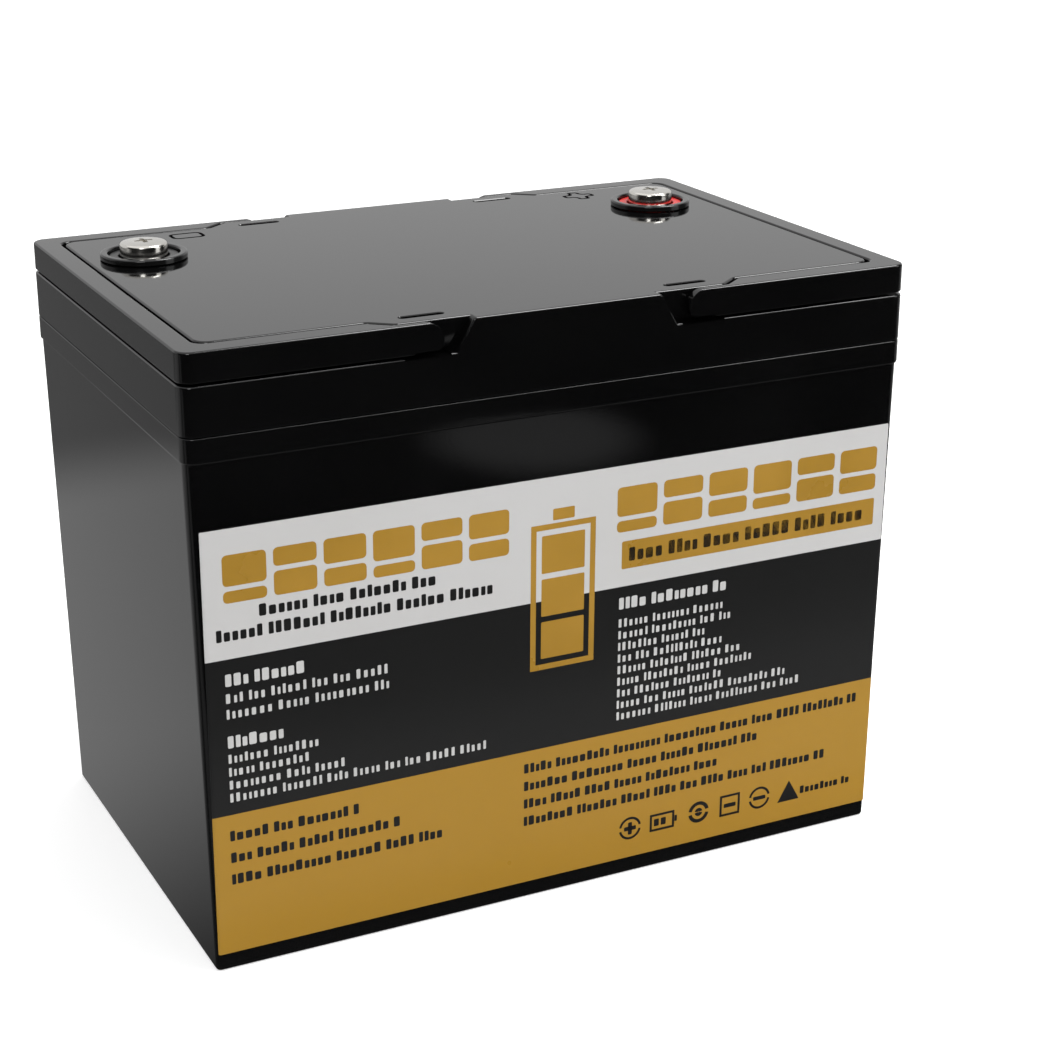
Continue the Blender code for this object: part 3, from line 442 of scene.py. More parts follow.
BLACK_GLOSS = plastic("black_gloss_abs", (0.0020, 0.0020, 0.0021), (0.0028, 0.0028, 0.0029), (0.045, 0.075))
COLLAR_BLACK = plastic("black_collar", (0.006, 0.006, 0.006), (0.010, 0.010, 0.010), (0.10, 0.17))
RING_BLACK = plastic("black_polarity_ring", (0.012, 0.012, 0.012), (0.020, 0.020, 0.020), (0.25, 0.38))
RING_RED = plastic("red_polarity_ring", (0.55, 0.008, 0.006), (0.72, 0.014, 0.010), (0.22, 0.34))
LABEL_FILM = film("label_film", LABEL_LOW.z, BAND_LOW, BAND_HIGH, LABEL_HIGH.z)
BOLT_STEEL = metal("nickel_plated_steel", (0.66, 0.64, 0.60), (0.78, 0.76, 0.72), (0.12, 0.24),
                   (1, 1, 6), 300)
WASHER_STEEL = metal("zinc_plated_steel", (0.52, 0.52, 0.53), (0.66, 0.66, 0.66), (0.24, 0.40),
                     (1, 1, 4), 400)
TERMINAL_BRASS = metal("tinned_brass", (0.62, 0.52, 0.34), (0.74, 0.66, 0.48), (0.22, 0.36), (1, 1, 5), 350)
COPPER = metal("tinned_copper", (0.66, 0.40, 0.26), (0.80, 0.52, 0.36), (0.22, 0.40), (6, 1, 1), 260)
BAND_STEEL = metal("strapping_steel", (0.48, 0.48, 0.50), (0.60, 0.60, 0.61), (0.28, 0.42), (1, 1, 14), 260)
ALUMINIUM = metal("mill_aluminium", (0.58, 0.59, 0.61), (0.72, 0.73, 0.74), (0.30, 0.44), (1, 1, 10), 240)
SINK_ALUMINIUM = metal("extruded_aluminium", (0.50, 0.51, 0.53), (0.66, 0.67, 0.69), (0.30, 0.42),
                       (0.1, 8, 8), 240)
POST_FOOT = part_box("cell_1")[1].z - 3 * MM              # bare metal above, wrap below
BOARD_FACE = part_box("protection_board")[0].z + 1.65 * MM        # parts above, board below
CELL_WRAP = layered("blue_cell_wrap", (0.012, 0.075, 0.30), (0.62, 0.62, 0.63), POST_FOOT, True,
                    (0.24, 0.40), 120, 0.12)
BOARD = layered("green_circuit_board", (0.010, 0.105, 0.040), (0.014, 0.014, 0.015), BOARD_FACE,
                False, (0.28, 0.42), 700, 0.15)
FOAM = foam_rubber("black_foam", (0.018, 0.018, 0.019))
FIBRE = woven("fibre_board", (0.15, 0.34, 0.22), (0.25, 0.48, 0.33), (0.38, 0.55))
TRAY = plastic("white_nylon", (0.62, 0.61, 0.57), (0.74, 0.73, 0.69), (0.38, 0.52), 500, 0.12)
RED_CABLE = plastic("red_silicone", (0.38, 0.010, 0.008), (0.50, 0.016, 0.012), (0.42, 0.58), 700, 0.18)
BLACK_CABLE = plastic("black_silicone", (0.012, 0.012, 0.012), (0.022, 0.022, 0.022), (0.42, 0.58),
                      700, 0.18)


# ---- case, lid and handles -------------------------------------------------------------------

OUTLINE = rounded_rectangle(HALF_LENGTH, HALF_WIDTH, CORNER)
ROOM_OUTLINE = rounded_rectangle(HALF_LENGTH, HALF_WIDTH, CORNER + WALL)


def make_case():
    """The open tub, with a rim band that stands out a little, and a softened foot and rim."""
    foot = 1.2 * MM
    outside = [(z, BASE_DRAFT + d) for z, d in rounded_foot(0, foot)]
    step = 0.35 * MM
    outside += [(RIM_BOTTOM - step, WALL_STEP), (RIM_BOTTOM, WALL_STEP - 0.1 * MM),
                (RIM_BOTTOM + 0.2 * MM, 0.25 * MM), (RIM_BOTTOM + 0.4 * MM, 0.07 * MM),
                (RIM_BOTTOM + 0.7 * MM, 0)]
    outside += rounded_top(RIM_TOP, 0.4 * MM, 4)
    foot_inset = BASE_DRAFT + WALL
    room = [(FLOOR, foot_inset + MM), (FLOOR + MM, foot_inset), (RIM_BOTTOM, WALL_STEP + WALL),
            (RIM_TOP + MM, WALL)]
    mesh = carve(loft("case", OUTLINE, outside),
                 [("DIFFERENCE", loft("room", ROOM_OUTLINE, room), (0, 0, 0))])
    even_normals(piece("case_tub", mesh, BLACK_GLOSS, BATTERY, ["case"]))


def panel_outline():
    """The raised panel from above: full length between the handles, wider at its necks."""
    quarter = [(PANEL_HALF_LENGTH, PANEL_HALF_WIDTH, CORNER), (NECK_START, PANEL_HALF_WIDTH, 3 * MM),
               (NECK_END, NECK_HALF_WIDTH, 3 * MM)]
    corners = quarter + [(-x, y, r) for x, y, r in reversed(quarter)]
    corners += [(-x, -y, r) for x, y, r in quarter] + [(x, -y, r) for x, y, r in reversed(quarter)]
    return rounded_polygon(corners)


def make_lid():
    """The bonded lid: flanged band, raised panel, block between the handles, terminal pockets,
    pivot bores, slots and the engraved polarity marks."""
    tongue, tongue_wall = WALL + 1.1 * MM, 2 * MM
    band = rounded_foot(LID_BOTTOM, 0.4 * MM) + rounded_top(LEDGE, TOP_FILLET)
    foot = [(RIM_TOP - 5.5 * MM, tongue + 0.3 * MM), (RIM_TOP - 5.2 * MM, tongue),
            (LID_BOTTOM + MM, tongue)]
    panel = panel_outline()
    raised = loft("panel", panel, [(LEDGE - 2 * MM, 0)] + rounded_top(PANEL, TOP_FILLET))
    steps = [("UNION", loft("tongue", ROOM_OUTLINE, foot), (0, 0, 0)), ("UNION", raised, (0, 0, 0))]

    slope = (BLOCK_FOOT_HALF - BLOCK_TOP_HALF) / (PANEL - LEDGE)
    sunk, fillet = 2 * MM, 1.5 * MM
    low = LEDGE - sunk
    block = [(-BLOCK_FOOT_HALF - sunk * slope, low, 0), (BLOCK_FOOT_HALF + sunk * slope, low, 0),
             (BLOCK_TOP_HALF, PANEL, fillet), (-BLOCK_TOP_HALF, PANEL, fillet)]
    ends = sorted((lean * y, d) for y, d in rounded_top(HALF_WIDTH, TOP_FILLET) for lean in (-1, 1))
    steps.append(("UNION", loft("block", rounded_polygon(block), ends, upright=True), (0, 0, 0)))

    top = LEDGE - RELIEF
    for sign in (-1, 1):
        for lean in (-1, 1):
            y = sorted((lean * (NECK_HALF_WIDTH - 0.5 * MM), lean * (HALF_WIDTH + 5 * MM)))
            pocket = box_mesh("relief", (PIVOT_X * sign - 8 * MM, y[0], top),
                              (PIVOT_X * sign + 8 * MM, y[1], top + 2 * MM))
            steps.append(("DIFFERENCE", pocket, (0, 0, 0)))

    room = [(RIM_TOP - 12 * MM, tongue + tongue_wall), (LID_BOTTOM + 5 * MM, tongue + tongue_wall),
            (LID_BOTTOM + 9 * MM, WALL), (LEDGE - WALL, WALL)]
    steps.append(("DIFFERENCE", loft("band_room", ROOM_OUTLINE, room), (0, 0, 0)))
    room = [(LEDGE - 8 * MM, 2.4 * MM), (PANEL - PANEL_THICKNESS, 2.4 * MM)]
    steps.append(("DIFFERENCE", loft("panel_room", panel, room), (0, 0, 0)))

    for pole in ("negative", "positive"):
        ring_low, ring_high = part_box(f"{pole}_polarity_ring")
        insert_low, insert_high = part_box(f"{pole}_terminal")
        at = terminal_centre(pole)
        ring = (ring_high.x - ring_low.x) / 2
        flange = (insert_high.x - insert_low.x) / 2
        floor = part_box(f"{pole}_terminal")[0].z + 15.5 * MM
        gap = 0.3 * MM
        boss_low = floor - 4 * MM
        steps.append(("UNION", cylinder("boss", ring + gap + 2.2 * MM, boss_low, PANEL - MM), at))
        seat = ring_low.z - gap
        steps.append(("DIFFERENCE", cylinder("seat", ring + gap, seat, PANEL + MM), at))
        steps.append(("DIFFERENCE", cylinder("pocket", flange + gap, floor, seat + MM), at))
        steps.append(("DIFFERENCE", cylinder("stud", 4.4 * MM, boss_low - MM, floor + MM), at))

    for sign in (-1, 1):
        bore = cylinder("bore", 2.5 * MM, -HALF_WIDTH - 2 * MM, HALF_WIDTH + 2 * MM, 48, "Y")
        steps.append(("DIFFERENCE", bore, (sign * PIVOT_X, 0, PIVOT_Z)))
        for lean in (-1, 1):
            slot = rounded_rectangle(7.7 * MM, 1.4 * MM, 1.39 * MM, 8)
            cut = loft("slot", slot, [(PANEL - 4 * MM, 0), (PANEL - 0.3 * MM, 0), (PANEL, -0.25 * MM),
                                      (PANEL + MM, -0.25 * MM)])
            steps.append(("DIFFERENCE", cut, (sign * 47.5 * MM, lean * 74 * MM, 0)))

    depth, line = MM, 1.3 * MM
    groove = [(PANEL - depth, 0.15 * MM), (PANEL, 0), (PANEL + MM, 0), (PANEL + MM, line), (PANEL, line),
              (PANEL - depth, line - 0.15 * MM)]
    minus = rounded_rectangle(6.2 * MM, 4.2 * MM, 2.6 * MM, 8)
    plus = cross(2.4 * MM, 6.3 * MM, 1.5 * MM, 6)
    for outline, x in ((minus, -77.7 * MM), (plus, 81 * MM)):
        steps.append(("DIFFERENCE", loft("mark", outline, groove, ring=True), (x, 66 * MM, 0)))

    mesh = carve(loft("lid", OUTLINE, band), steps)
    made = piece("bonded_lid", mesh, BLACK_GLOSS, BATTERY, ["lid"])
    soften(made, 0.3 * MM)
    even_normals(made)


def terminal_centre(pole):
    low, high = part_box(f"{pole}_bolt")
    return Vector(((low.x + high.x) / 2, (low.y + high.y) / 2, 0))


def make_handle(side, sign):
    """A U-shaped handle round one end of the lid, turning on two pins moulded on its arms."""
    thin, wide = NECK_HALF_WIDTH + GROOVE, PANEL_HALF_WIDTH + GROOVE
    grip = PANEL_HALF_LENGTH + GROOVE
    half = [(grip, wide, CORNER - GROOVE), (NECK_START + GROOVE, wide, 3 * MM),
            (NECK_END + GROOVE, thin, 3 * MM), (ARM_END, thin, 0), (ARM_END, HALF_WIDTH, 0),
            (HALF_LENGTH, HALF_WIDTH, CORNER)]
    outline = rounded_polygon(list(reversed(half)) + [(x, -y, r) for x, y, r in half])
    low, high = HANDLE_LOW.z, HANDLE_HIGH.z
    skirt = low - 0.8 * MM
    mesh = loft(f"{side}_handle", outline, rounded_foot(skirt, 0.5 * MM) + rounded_top(high, TOP_FILLET))
    profile = [(ARM_END, low, 2.8 * MM), (PIVOT_X + 4 * MM, low, 0), (PIVOT_X + 6 * MM, skirt - MM, 0),
               (HALF_LENGTH + MM, skirt - MM, 0), (HALF_LENGTH + MM, high + MM, 0),
               (ARM_END + 12 * MM, high + MM, 0), (ARM_END + 12 * MM, high, 0), (ARM_END, high, 6 * MM)]
    end = loft("arm_end", rounded_polygon(profile, 16), [(-0.1, 0), (0.1, 0)], upright=True)
    steps = [("INTERSECT", end, (0, 0, 0))]
    for lean in (-1, 1):
        y = sorted((lean * 75.6 * MM, lean * (thin + 0.8 * MM)))
        pin = cylinder("pin", 2.2 * MM, -y[1], -y[0], 48, "Y")
        steps.append(("UNION", pin, (PIVOT_X, 0, PIVOT_Z)))
    mesh = carve(mesh, steps)
    if sign < 0:
        mesh.transform(Matrix.Scale(-1, 4, (1, 0, 0)))
        mesh.flip_normals()
    made = piece(f"{side}_carry_handle", mesh, BLACK_GLOSS, f"{side}_handle", [f"{side}_handle"])
    soften(made, 0.5 * MM)
    even_normals(made)


# ---- terminals -------------------------------------------------------------------------------

def make_collar(pole):
    """The raised ring round a terminal, with soft upper edges."""
    low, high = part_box(f"{pole}_collar")
    outer, bore, soft = (high.x - low.x) / 2, 12.4 * MM, 0.7 * MM
    bottom, top = low.z, high.z
    profile = [(bore, bottom), (outer - 0.2 * MM, bottom), (outer, bottom + 0.2 * MM)]
    for step in range(7):
        turn = math.pi / 2 * step / 6
        profile.append((outer - soft + soft * math.cos(turn), top - soft + soft * math.sin(turn)))
    for step in range(7):
        turn = math.pi / 2 * (1 + step / 6)
        profile.append((bore + soft + soft * math.cos(turn), top - soft + soft * math.sin(turn)))
    made = piece(f"{pole}_terminal_collar", lathe(f"{pole}_collar", profile), COLLAR_BLACK, BATTERY,
                 [f"{pole}_collar"], terminal_centre(pole))
    even_normals(made)


def make_polarity_ring(pole):
    """The coloured ring between the collar and the post, with a rounded inner lip."""
    low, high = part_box(f"{pole}_polarity_ring")
    outer, bore, soft = (high.x - low.x) / 2, 8.8 * MM, 0.5 * MM
    profile = [(bore, low.z), (outer, low.z), (outer, high.z - soft)]
    profile += [(outer - soft * (1 - math.cos(t)), high.z - soft * (1 - math.sin(t)))
                for t in [math.pi / 2 * k / 5 for k in range(1, 6)]]
    profile += [(bore + soft * (1 - math.sin(t)), high.z - soft * (1 - math.cos(t)))
                for t in [math.pi / 2 * k / 5 for k in range(6)]]
    finish, slot = (RING_BLACK, "black_ring") if pole == "negative" else (RING_RED, "red_ring")
    piece(f"{pole}_ring", lathe(f"{pole}_ring", profile), finish, BATTERY, [f"{pole}_polarity_ring"],
          terminal_centre(pole))


def thread_depth(z, turn):
    """Depth of an M8 thread below its crest at a height and an angle."""
    phase = (z / PITCH - turn / (2 * math.pi)) % 1
    return 0.61 * PITCH * min(1, max(0, abs(2 * phase - 1) * 1.3 - 0.15))


def make_bolt(pole):
    """A plated machine screw: low domed head with a cross recess, and a real M8 thread."""
    low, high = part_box(f"{pole}_bolt")
    head, shank = (high.x - low.x) / 2, 4 * MM
    top, under = high.z, low.z + 16 * MM
    shoulder, edge = top - 0.45 * MM, 1.1 * MM
    rows = [(0, low.z), (shank - 1.2 * MM, low.z), (shank - 0.5 * MM, low.z + 0.7 * MM)]
    start, end = low.z + 0.8 * MM, under - 1.2 * MM
    count = round((end - start) / PITCH * 10)
    rows += [(shank, start + (end - start) * k / count) for k in range(count + 1)]
    rows += [(shank, under), (head - 0.3 * MM, under), (head, under + 0.3 * MM), (head, shoulder - edge)]
    for k in range(1, 7):
        turn = math.pi / 2 * k / 6
        rows.append((head - edge + edge * math.cos(turn), shoulder - edge + edge * math.sin(turn)))
    rows += [(0.55 * head, top - 0.14 * MM), (0.25 * head, top - 0.03 * MM), (0, top)]
    mesh = lathe(f"{pole}_bolt", rows, 72, closed=False)
    for vertex in mesh.vertices:
        radius = math.hypot(vertex.co.x, vertex.co.y)
        if start < vertex.co.z < end and radius > shank - 0.1 * MM:
            fade = min(1, (vertex.co.z - start) / PITCH, (end - vertex.co.z) / PITCH)
            depth = fade * thread_depth(vertex.co.z, math.atan2(vertex.co.y, vertex.co.x))
            vertex.co.x *= 1 - depth / radius
            vertex.co.y *= 1 - depth / radius
    levels = [(top - 2.6 * MM, 0.4 * MM), (top - 0.2 * MM, 0.3 * MM), (top + MM, 0.1 * MM)]
    recess = loft("recess", cross(1.05 * MM, 3.5 * MM, 0.45 * MM), levels)
    mesh = carve(mesh, [("DIFFERENCE", recess, (0, 0, 0))])
    piece(f"{pole}_terminal_bolt", mesh, BOLT_STEEL, f"{pole}_bolt", [f"{pole}_bolt"],
          terminal_centre(pole), sharp=38)


def make_washers(pole):
    """The flat washer and the split spring washer under the bolt's head."""
    low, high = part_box(f"{pole}_flat_washer")
    radius, bore, soft = (high.x - low.x) / 2, 4.3 * MM, 0.25 * MM
    profile = [(bore, low.z), (radius - soft, low.z), (radius, low.z + soft), (radius, high.z - soft),
               (radius - 0.3 * soft, high.z - 0.3 * soft), (radius - soft, high.z), (bore, high.z)]
    piece(f"{pole}_plain_washer", lathe("flat_washer", profile), WASHER_STEEL, f"{pole}_washers",
          [f"{pole}_flat_washer"], terminal_centre(pole))

    low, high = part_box(f"{pole}_spring_washer")
    radius, rise = (high.x - low.x) / 2, 0.25 * MM
    thick = high.z - low.z - rise
    shape, steps, soft = bmesh.new(), 80, 0.2 * MM
    section = [(bore, soft), (bore + soft, 0), (radius - soft, 0), (radius, soft), (radius, thick - soft),
               (radius - soft, thick), (bore + soft, thick), (bore, thick - soft)]
    rings = []
    for step in range(steps + 1):
        part_way = step / steps
        turn = math.radians(5 + 350 * part_way)
        lift = low.z + rise * part_way
        rings.append([shape.verts.new((r * math.cos(turn), r * math.sin(turn), lift + z))
                      for r, z in section])
    shape.faces.new(rings[0])
    shape.faces.new(reversed(rings[-1]))
    for a, b in zip(rings, rings[1:]):
        for i in range(len(section)):
            shape.faces.new((a[i - 1], a[i], b[i], b[i - 1]))
    piece(f"{pole}_split_washer", to_mesh("spring_washer", shape), WASHER_STEEL, f"{pole}_washers",
          [f"{pole}_spring_washer"], terminal_centre(pole))


def make_insert(pole):
    """The threaded terminal post with its flange and the stud below it."""
    low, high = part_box(f"{pole}_terminal")
    flange, shank, hole, stud = (high.x - low.x) / 2, 8.2 * MM, 4.25 * MM, 4 * MM
    flange_bottom = low.z + 15.8 * MM
    hole_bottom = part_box(f"{pole}_bolt")[0].z - 1.2 * MM
    rows = [(0, low.z), (stud - 0.8 * MM, low.z), (stud, low.z + 0.8 * MM), (stud, flange_bottom),
            (flange - 0.3 * MM, flange_bottom), (flange, flange_bottom + 0.3 * MM),
            (flange, flange_bottom + 4.7 * MM), (flange - 0.3 * MM, flange_bottom + 5 * MM),
            (shank, flange_bottom + 5 * MM), (shank, high.z - 0.5 * MM),
            (shank - 0.15 * MM, high.z - 0.15 * MM), (shank - 0.5 * MM, high.z),
            (hole + 0.5 * MM, high.z), (hole, high.z - 0.5 * MM)]
    count = round((high.z - 0.5 * MM - hole_bottom) / PITCH * 6)
    rows += [(hole + (0.18 * MM if k % 6 in (2, 3, 4) else 0), high.z - 0.5 * MM - k * PITCH / 6)
             for k in range(1, count)]
    rows += [(hole, hole_bottom), (0, hole_bottom)]
    piece(f"{pole}_terminal_post", lathe("insert", rows, 64, closed=False), TERMINAL_BRASS, BATTERY,
          [f"{pole}_terminal"], terminal_centre(pole))


# ---- printed label ---------------------------------------------------------------------------

FILM_STAND = 0.5 * MM           # outer face of the film, in front of the wall


def wall_inset(z):
    """How far the outer wall stands in from the rim at a height below the rim."""
    return BASE_DRAFT + (WALL_STEP - BASE_DRAFT) * z / RIM_BOTTOM


def make_label():
    """The film, bent a little round both front corners."""
    near, far = wall_inset(0) - 0.3 * MM, WALL_STEP - 0.3 * MM
    thick = FILM_STAND - 0.3 * MM
    section = [(0, near), (RIM_BOTTOM, far), (RIM_BOTTOM, far - thick), (0, near - thick)]
    sheet = loft("label", OUTLINE, section, ring=True)
    corners = ((-1, LABEL_LOW.z), (1, LABEL_LOW.z), (1, LABEL_HIGH.z), (-1, LABEL_HIGH.z))
    outline = rounded_polygon([(side * LABEL_HIGH.x, z, 0.5 * MM) for side, z in corners], 6)
    reach = 0.2 * HALF_WIDTH        # far enough back for the bends and forward past the front
    keep = loft("keep", outline, [(HALF_WIDTH - reach, 0), (HALF_WIDTH + reach, 0)], upright=True)
    mesh = carve(sheet, [("INTERSECT", keep, (0, 0, 0))])
    piece("printed_label", mesh, LABEL_FILM, BATTERY, ["front_label"])


def printed(name, outlines, finish):
    """Ink shapes as thin raised prints on the film, from outlines (x, z) in millimetres."""
    shape = bmesh.new()
    for outline in outlines:
        rows = []
        for raised in (0.005 * MM, 0.03 * MM):
            front = HALF_WIDTH + FILM_STAND + raised
            rows.append([shape.verts.new((x * MM, wall_inset(z * MM) - front, z * MM))
                         for x, z in outline])
        shape.faces.new(rows[0])
        shape.faces.new(reversed(rows[1]))
        for i in range(len(outline)):
            shape.faces.new((rows[0][i - 1], rows[0][i], rows[1][i], rows[1][i - 1]))
    piece(name, to_mesh(name, shape), finish, BATTERY, sharp=20)


def bar(left, bottom, width, height, radius=None):
    """A rounded rectangle as an outline."""
    radius = min(width, height) * 0.22 if radius is None else radius
    half_x, half_z = width / 2, height / 2
    return [(p.x + left + half_x, p.y + bottom + half_z)
            for p in rounded_rectangle(half_x, half_z, radius, 3)]


def words(left, right, bottom, height, seed, thick=0.74):
    """A line of greeked words: letter-sized blocks in word groups, with no lettering."""
    chance = random.Random(seed)
    made, x = [], left
    while x < right - 0.5 * height:
        letters = chance.randint(3, 9)
        for letter in range(letters):
            width = height * chance.uniform(0.42, 0.74)
            if x + width > right:
                break
            tall = height if letter == 0 or chance.random() < 0.25 else height * 0.76
            made.append(bar(x, bottom, width * thick + height * 0.06, tall))
            x += width + height * 0.10
        x += height * 0.34
    return made


def title(left, right, bottom, height, count):
    """A row of equal plain blocks, each split by a slit at a different height."""
    gap, splits = 0.16, (0.30, 0.56, 0.42)      # shares of a block's width and of its height
    slit, corner = 0.10 * height, 0.09 * height
    wide = (right - left) / (count + gap * (count - 1))
    made = []
    for number in range(count):
        x = left + (1 + gap) * wide * number
        split = splits[number % len(splits)] * height
        made.append(bar(x, bottom, wide, split - slit / 2, corner))
        made.append(bar(x, bottom + split + slit / 2, wide, height - split - slit / 2, corner))
    return made


def battery_sign(x, z, half_x, half_z, line):
    """A plain battery pictogram: an upright box with a cap and three charge bars."""
    charges, corner = 3, 0.4
    cap_gap, cap_height = 1, 4
    made = frame_box(x, z, half_x, half_z, line)
    made.append(bar(x - half_x / 3, z + half_z + cap_gap, 2 * half_x / 3, cap_height, corner))
    wide, step = 2 * (half_x - 2 * line), 2 * (half_z - 1.5 * line) / charges
    for number in range(charges):
        made.append(bar(x - wide / 2, z - half_z + 2 * line + step * number, wide, step - line, corner))
    return made


def ring(x, z, radius, line, steps=32):
    """Two half rings, as outlines without a hole."""
    made = []
    for start in (0, 1):
        turns = [math.pi * (start + 0.06 + 0.88 * k / steps) for k in range(steps + 1)]
        outer = [(x + radius * math.cos(t), z + radius * math.sin(t)) for t in turns]
        small = radius - line
        inner = [(x + small * math.cos(t), z + small * math.sin(t)) for t in reversed(turns)]
        made.append(outer + inner)
    return made


def frame_box(x, z, half_x, half_z, line):
    """An open rectangle from four bars."""
    return [bar(x - half_x, z - half_z, 2 * half_x, line, 0.2),
            bar(x - half_x, z + half_z - line, 2 * half_x, line, 0.2),
            bar(x - half_x, z - half_z + line, line, 2 * (half_z - line), 0.1),
            bar(x + half_x - line, z - half_z + line, line, 2 * (half_z - line), 0.1)]


def make_print():
    """The layout of the label: blocks for titles and text, and plain pictograms, without words."""
    gold = title(-119.5, -21.5, 129.6, 16, 6) + title(18.5, 122, 130.6, 16, 6)
    box_low, box_high = 117.2, 127.2
    gold.append(bar(20.6, box_low, 101.4, box_high - box_low, 0.6))
    gold += battery_sign(-1.5, 112, 12, 26, 2)
    printed("gold_print", gold, ink("gold_ink", GOLD))

    black = words(-108, -45, 123.6, 4.1, 11) + words(-122.3, -26.3, 117, 4.1, 12)
    for row, (right, seed) in enumerate(((-73, 13), (-60, 14), (-44, 15))):
        black += words(-120.6, right, 47.2 - 7.9 * row, 3.7, seed)
    for row, (right, seed) in enumerate(((120.5, 16), (80, 17), (62, 18), (108, 19))):
        black += words(-15.4, right, 48.4 - 6.7 * row, 3.5, seed)
    black += words(97.5, 119.5, 15.6, 3, 20)
    black += ring(26.5, 17.8, 4.4, 0.9) + [bar(24.1, 16.9, 4.8, 1.6), bar(25.7, 15.3, 1.6, 4.8)]
    black += frame_box(39.5, 17.6, 5, 3.4, 0.9)
    black += [bar(44.6, 16.4, 1, 2.4, 0.2), bar(36.2, 16.2, 2, 2.8, 0.3), bar(39, 16.2, 2, 2.8, 0.3)]
    black += ring(54.5, 17.8, 4.2, 1.4) + ring(54.5, 17.8, 1.6, 1.4)
    black += frame_box(67.5, 17.8, 4.2, 4.2, 0.9) + [bar(65, 16.9, 5, 1.6)]
    black += ring(80, 17.8, 4.4, 0.9) + [bar(77.4, 17, 5.2, 1.5)]
    black += [[(92.5 - 4.6, 13.8), (92.5 + 4.6, 13.8), (92.5, 22)]]
    printed("black_print", black, ink("black_ink", INK_BLACK))
    printed("box_print", words(23.4, 120, 119.8, 4.9, 21), ink("box_ink", (0.03, 0.022, 0.012)))

    white = words(-120, -92.8, 101.6, 4.2, 31)
    white += words(-120, -64, 95.8, 3.3, 32, 0.5) + words(-120, -64, 90.4, 3.3, 33, 0.5)
    white += words(-120, -97.4, 80.2, 4.2, 34)
    for row, (right, seed) in enumerate(((-88, 35), (-92, 36), (-79, 37), (-27.5, 38))):
        white += words(-120, right, 74.9 - 4.6 * row, 3.1, seed, 0.5)
    white += words(20, 63, 102.6, 4.2, 39)
    for row, right in enumerate((63, 66, 57, 63, 70, 76, 64, 90, 96)):
        white += words(20, right, 96.0 - 4.35 * row, 3.0, 40 + row, 0.5)
    printed("white_print", white, ink("white_ink", (0.62, 0.62, 0.61)))


# ---- pieces kept from the CAD ----------------------------------------------------------------

def dress_inside():
    """Gives each remaining CAD solid its finish."""
    looks = {
        COPPER: ("busbar_1", "busbar_2", "busbar_3", "negative_tab", "positive_tab", "negative_tab_lug",
                 "positive_tab_lug", "negative_lug", "positive_lug", "battery_lug", "output_lug"),
        CELL_WRAP: ("cell_1", "cell_2", "cell_3", "cell_4"),
        FIBRE: ("cell_spacer_1", "cell_spacer_2", "cell_spacer_3", "insulation_board"),
        FOAM: ("front_foam", "back_foam", "left_end_foam", "right_end_foam", "bottom_pad"),
        ALUMINIUM: ("left_end_plate", "right_end_plate"),
        SINK_ALUMINIUM: ("heat_sink",),
        BAND_STEEL: ("lower_band", "upper_band"),
        WASHER_STEEL: ("negative_nut", "positive_nut"),
        BOARD: ("protection_board", "wireless_board"),
        TRAY: ("bms_tray", "balance_plug"),
        RED_CABLE: ("positive_cable",),
        BLACK_CABLE: ("negative_cable", "battery_cable", "sense_cable"),
    }
    for finish, nodes in looks.items():
        for node in nodes:
            kept = bpy.data.objects[node]
            if not kept.material_slots:
                kept.data.materials.append(finish)
            for slot in kept.material_slots:
                slot.material = finish


# ---- studio ----------------------------------------------------------------------------------

BACK_GLOW, FRONT_GLOW, TOP_GLOW = 0.74, 0.01, 1.1
# Glow of the floor for glossy rays only, painted light seen in reflections: behind, far back, in front, the
# soft patch and the strip.
FLOOR_BACK, FLOOR_FAR, FLOOR_FRONT, FLOOR_PATCH, FLOOR_STRIP = 0.46, 0.2, 0.015, 0.36, 0.25


def aim(obj, target, roll=0.0):
    direction = Vector(target) - obj.location
    obj.rotation_mode = "QUATERNION"
    turn = direction.to_track_quat("-Z", "Y")
    obj.rotation_quaternion = turn @ Matrix.Rotation(math.radians(roll), 3, "Z").to_quaternion()


def make_camera():
    """A long lens a little above the lid, off the front left corner."""
    azimuth, elevation, distance = math.radians(-26.35), math.radians(20.08), 834.3 * MM
    target = Vector((26.4 * MM, 0, 104.1 * MM))
    data = bpy.data.cameras.new("camera")
    data.sensor_width, data.lens = 36, 76.84
    camera = bpy.data.objects.new("camera", data)
    back = Vector((math.sin(azimuth) * math.cos(elevation), -math.cos(azimuth) * math.cos(elevation),
                   math.sin(elevation)))
    camera.location = target + back * distance
    aim(camera, target, roll=0.06)
    bpy.context.scene.collection.objects.link(camera)
    bpy.context.scene.camera = camera


def area_light(name, at, target, size, power):
    data = bpy.data.lights.new(name, "AREA")
    data.shape = "RECTANGLE"
    data.size, data.size_y = size
    data.energy = power
    light = bpy.data.objects.new(name, data)
    light.location = at
    aim(light, target)
    bpy.context.scene.collection.objects.link(light)


def band(nodes, links, value, start, end, low, high):
    """A value mapped from one range to another and held flat outside it, with soft ends."""
    made = nodes.new("ShaderNodeMapRange")
    made.interpolation_type = "SMOOTHSTEP"
    for socket, number in (("From Min", start), ("From Max", end), ("To Min", low), ("To Max", high)):
        made.inputs[socket].default_value = number
    links.new(value, made.inputs["Value"])
    return made.outputs["Result"]


def combined(nodes, links, operation, first, second):
    made = nodes.new("ShaderNodeMath")
    made.operation = operation
    links.new(first, made.inputs[0])
    links.new(second, made.inputs[1])
    return made.outputs["Value"]


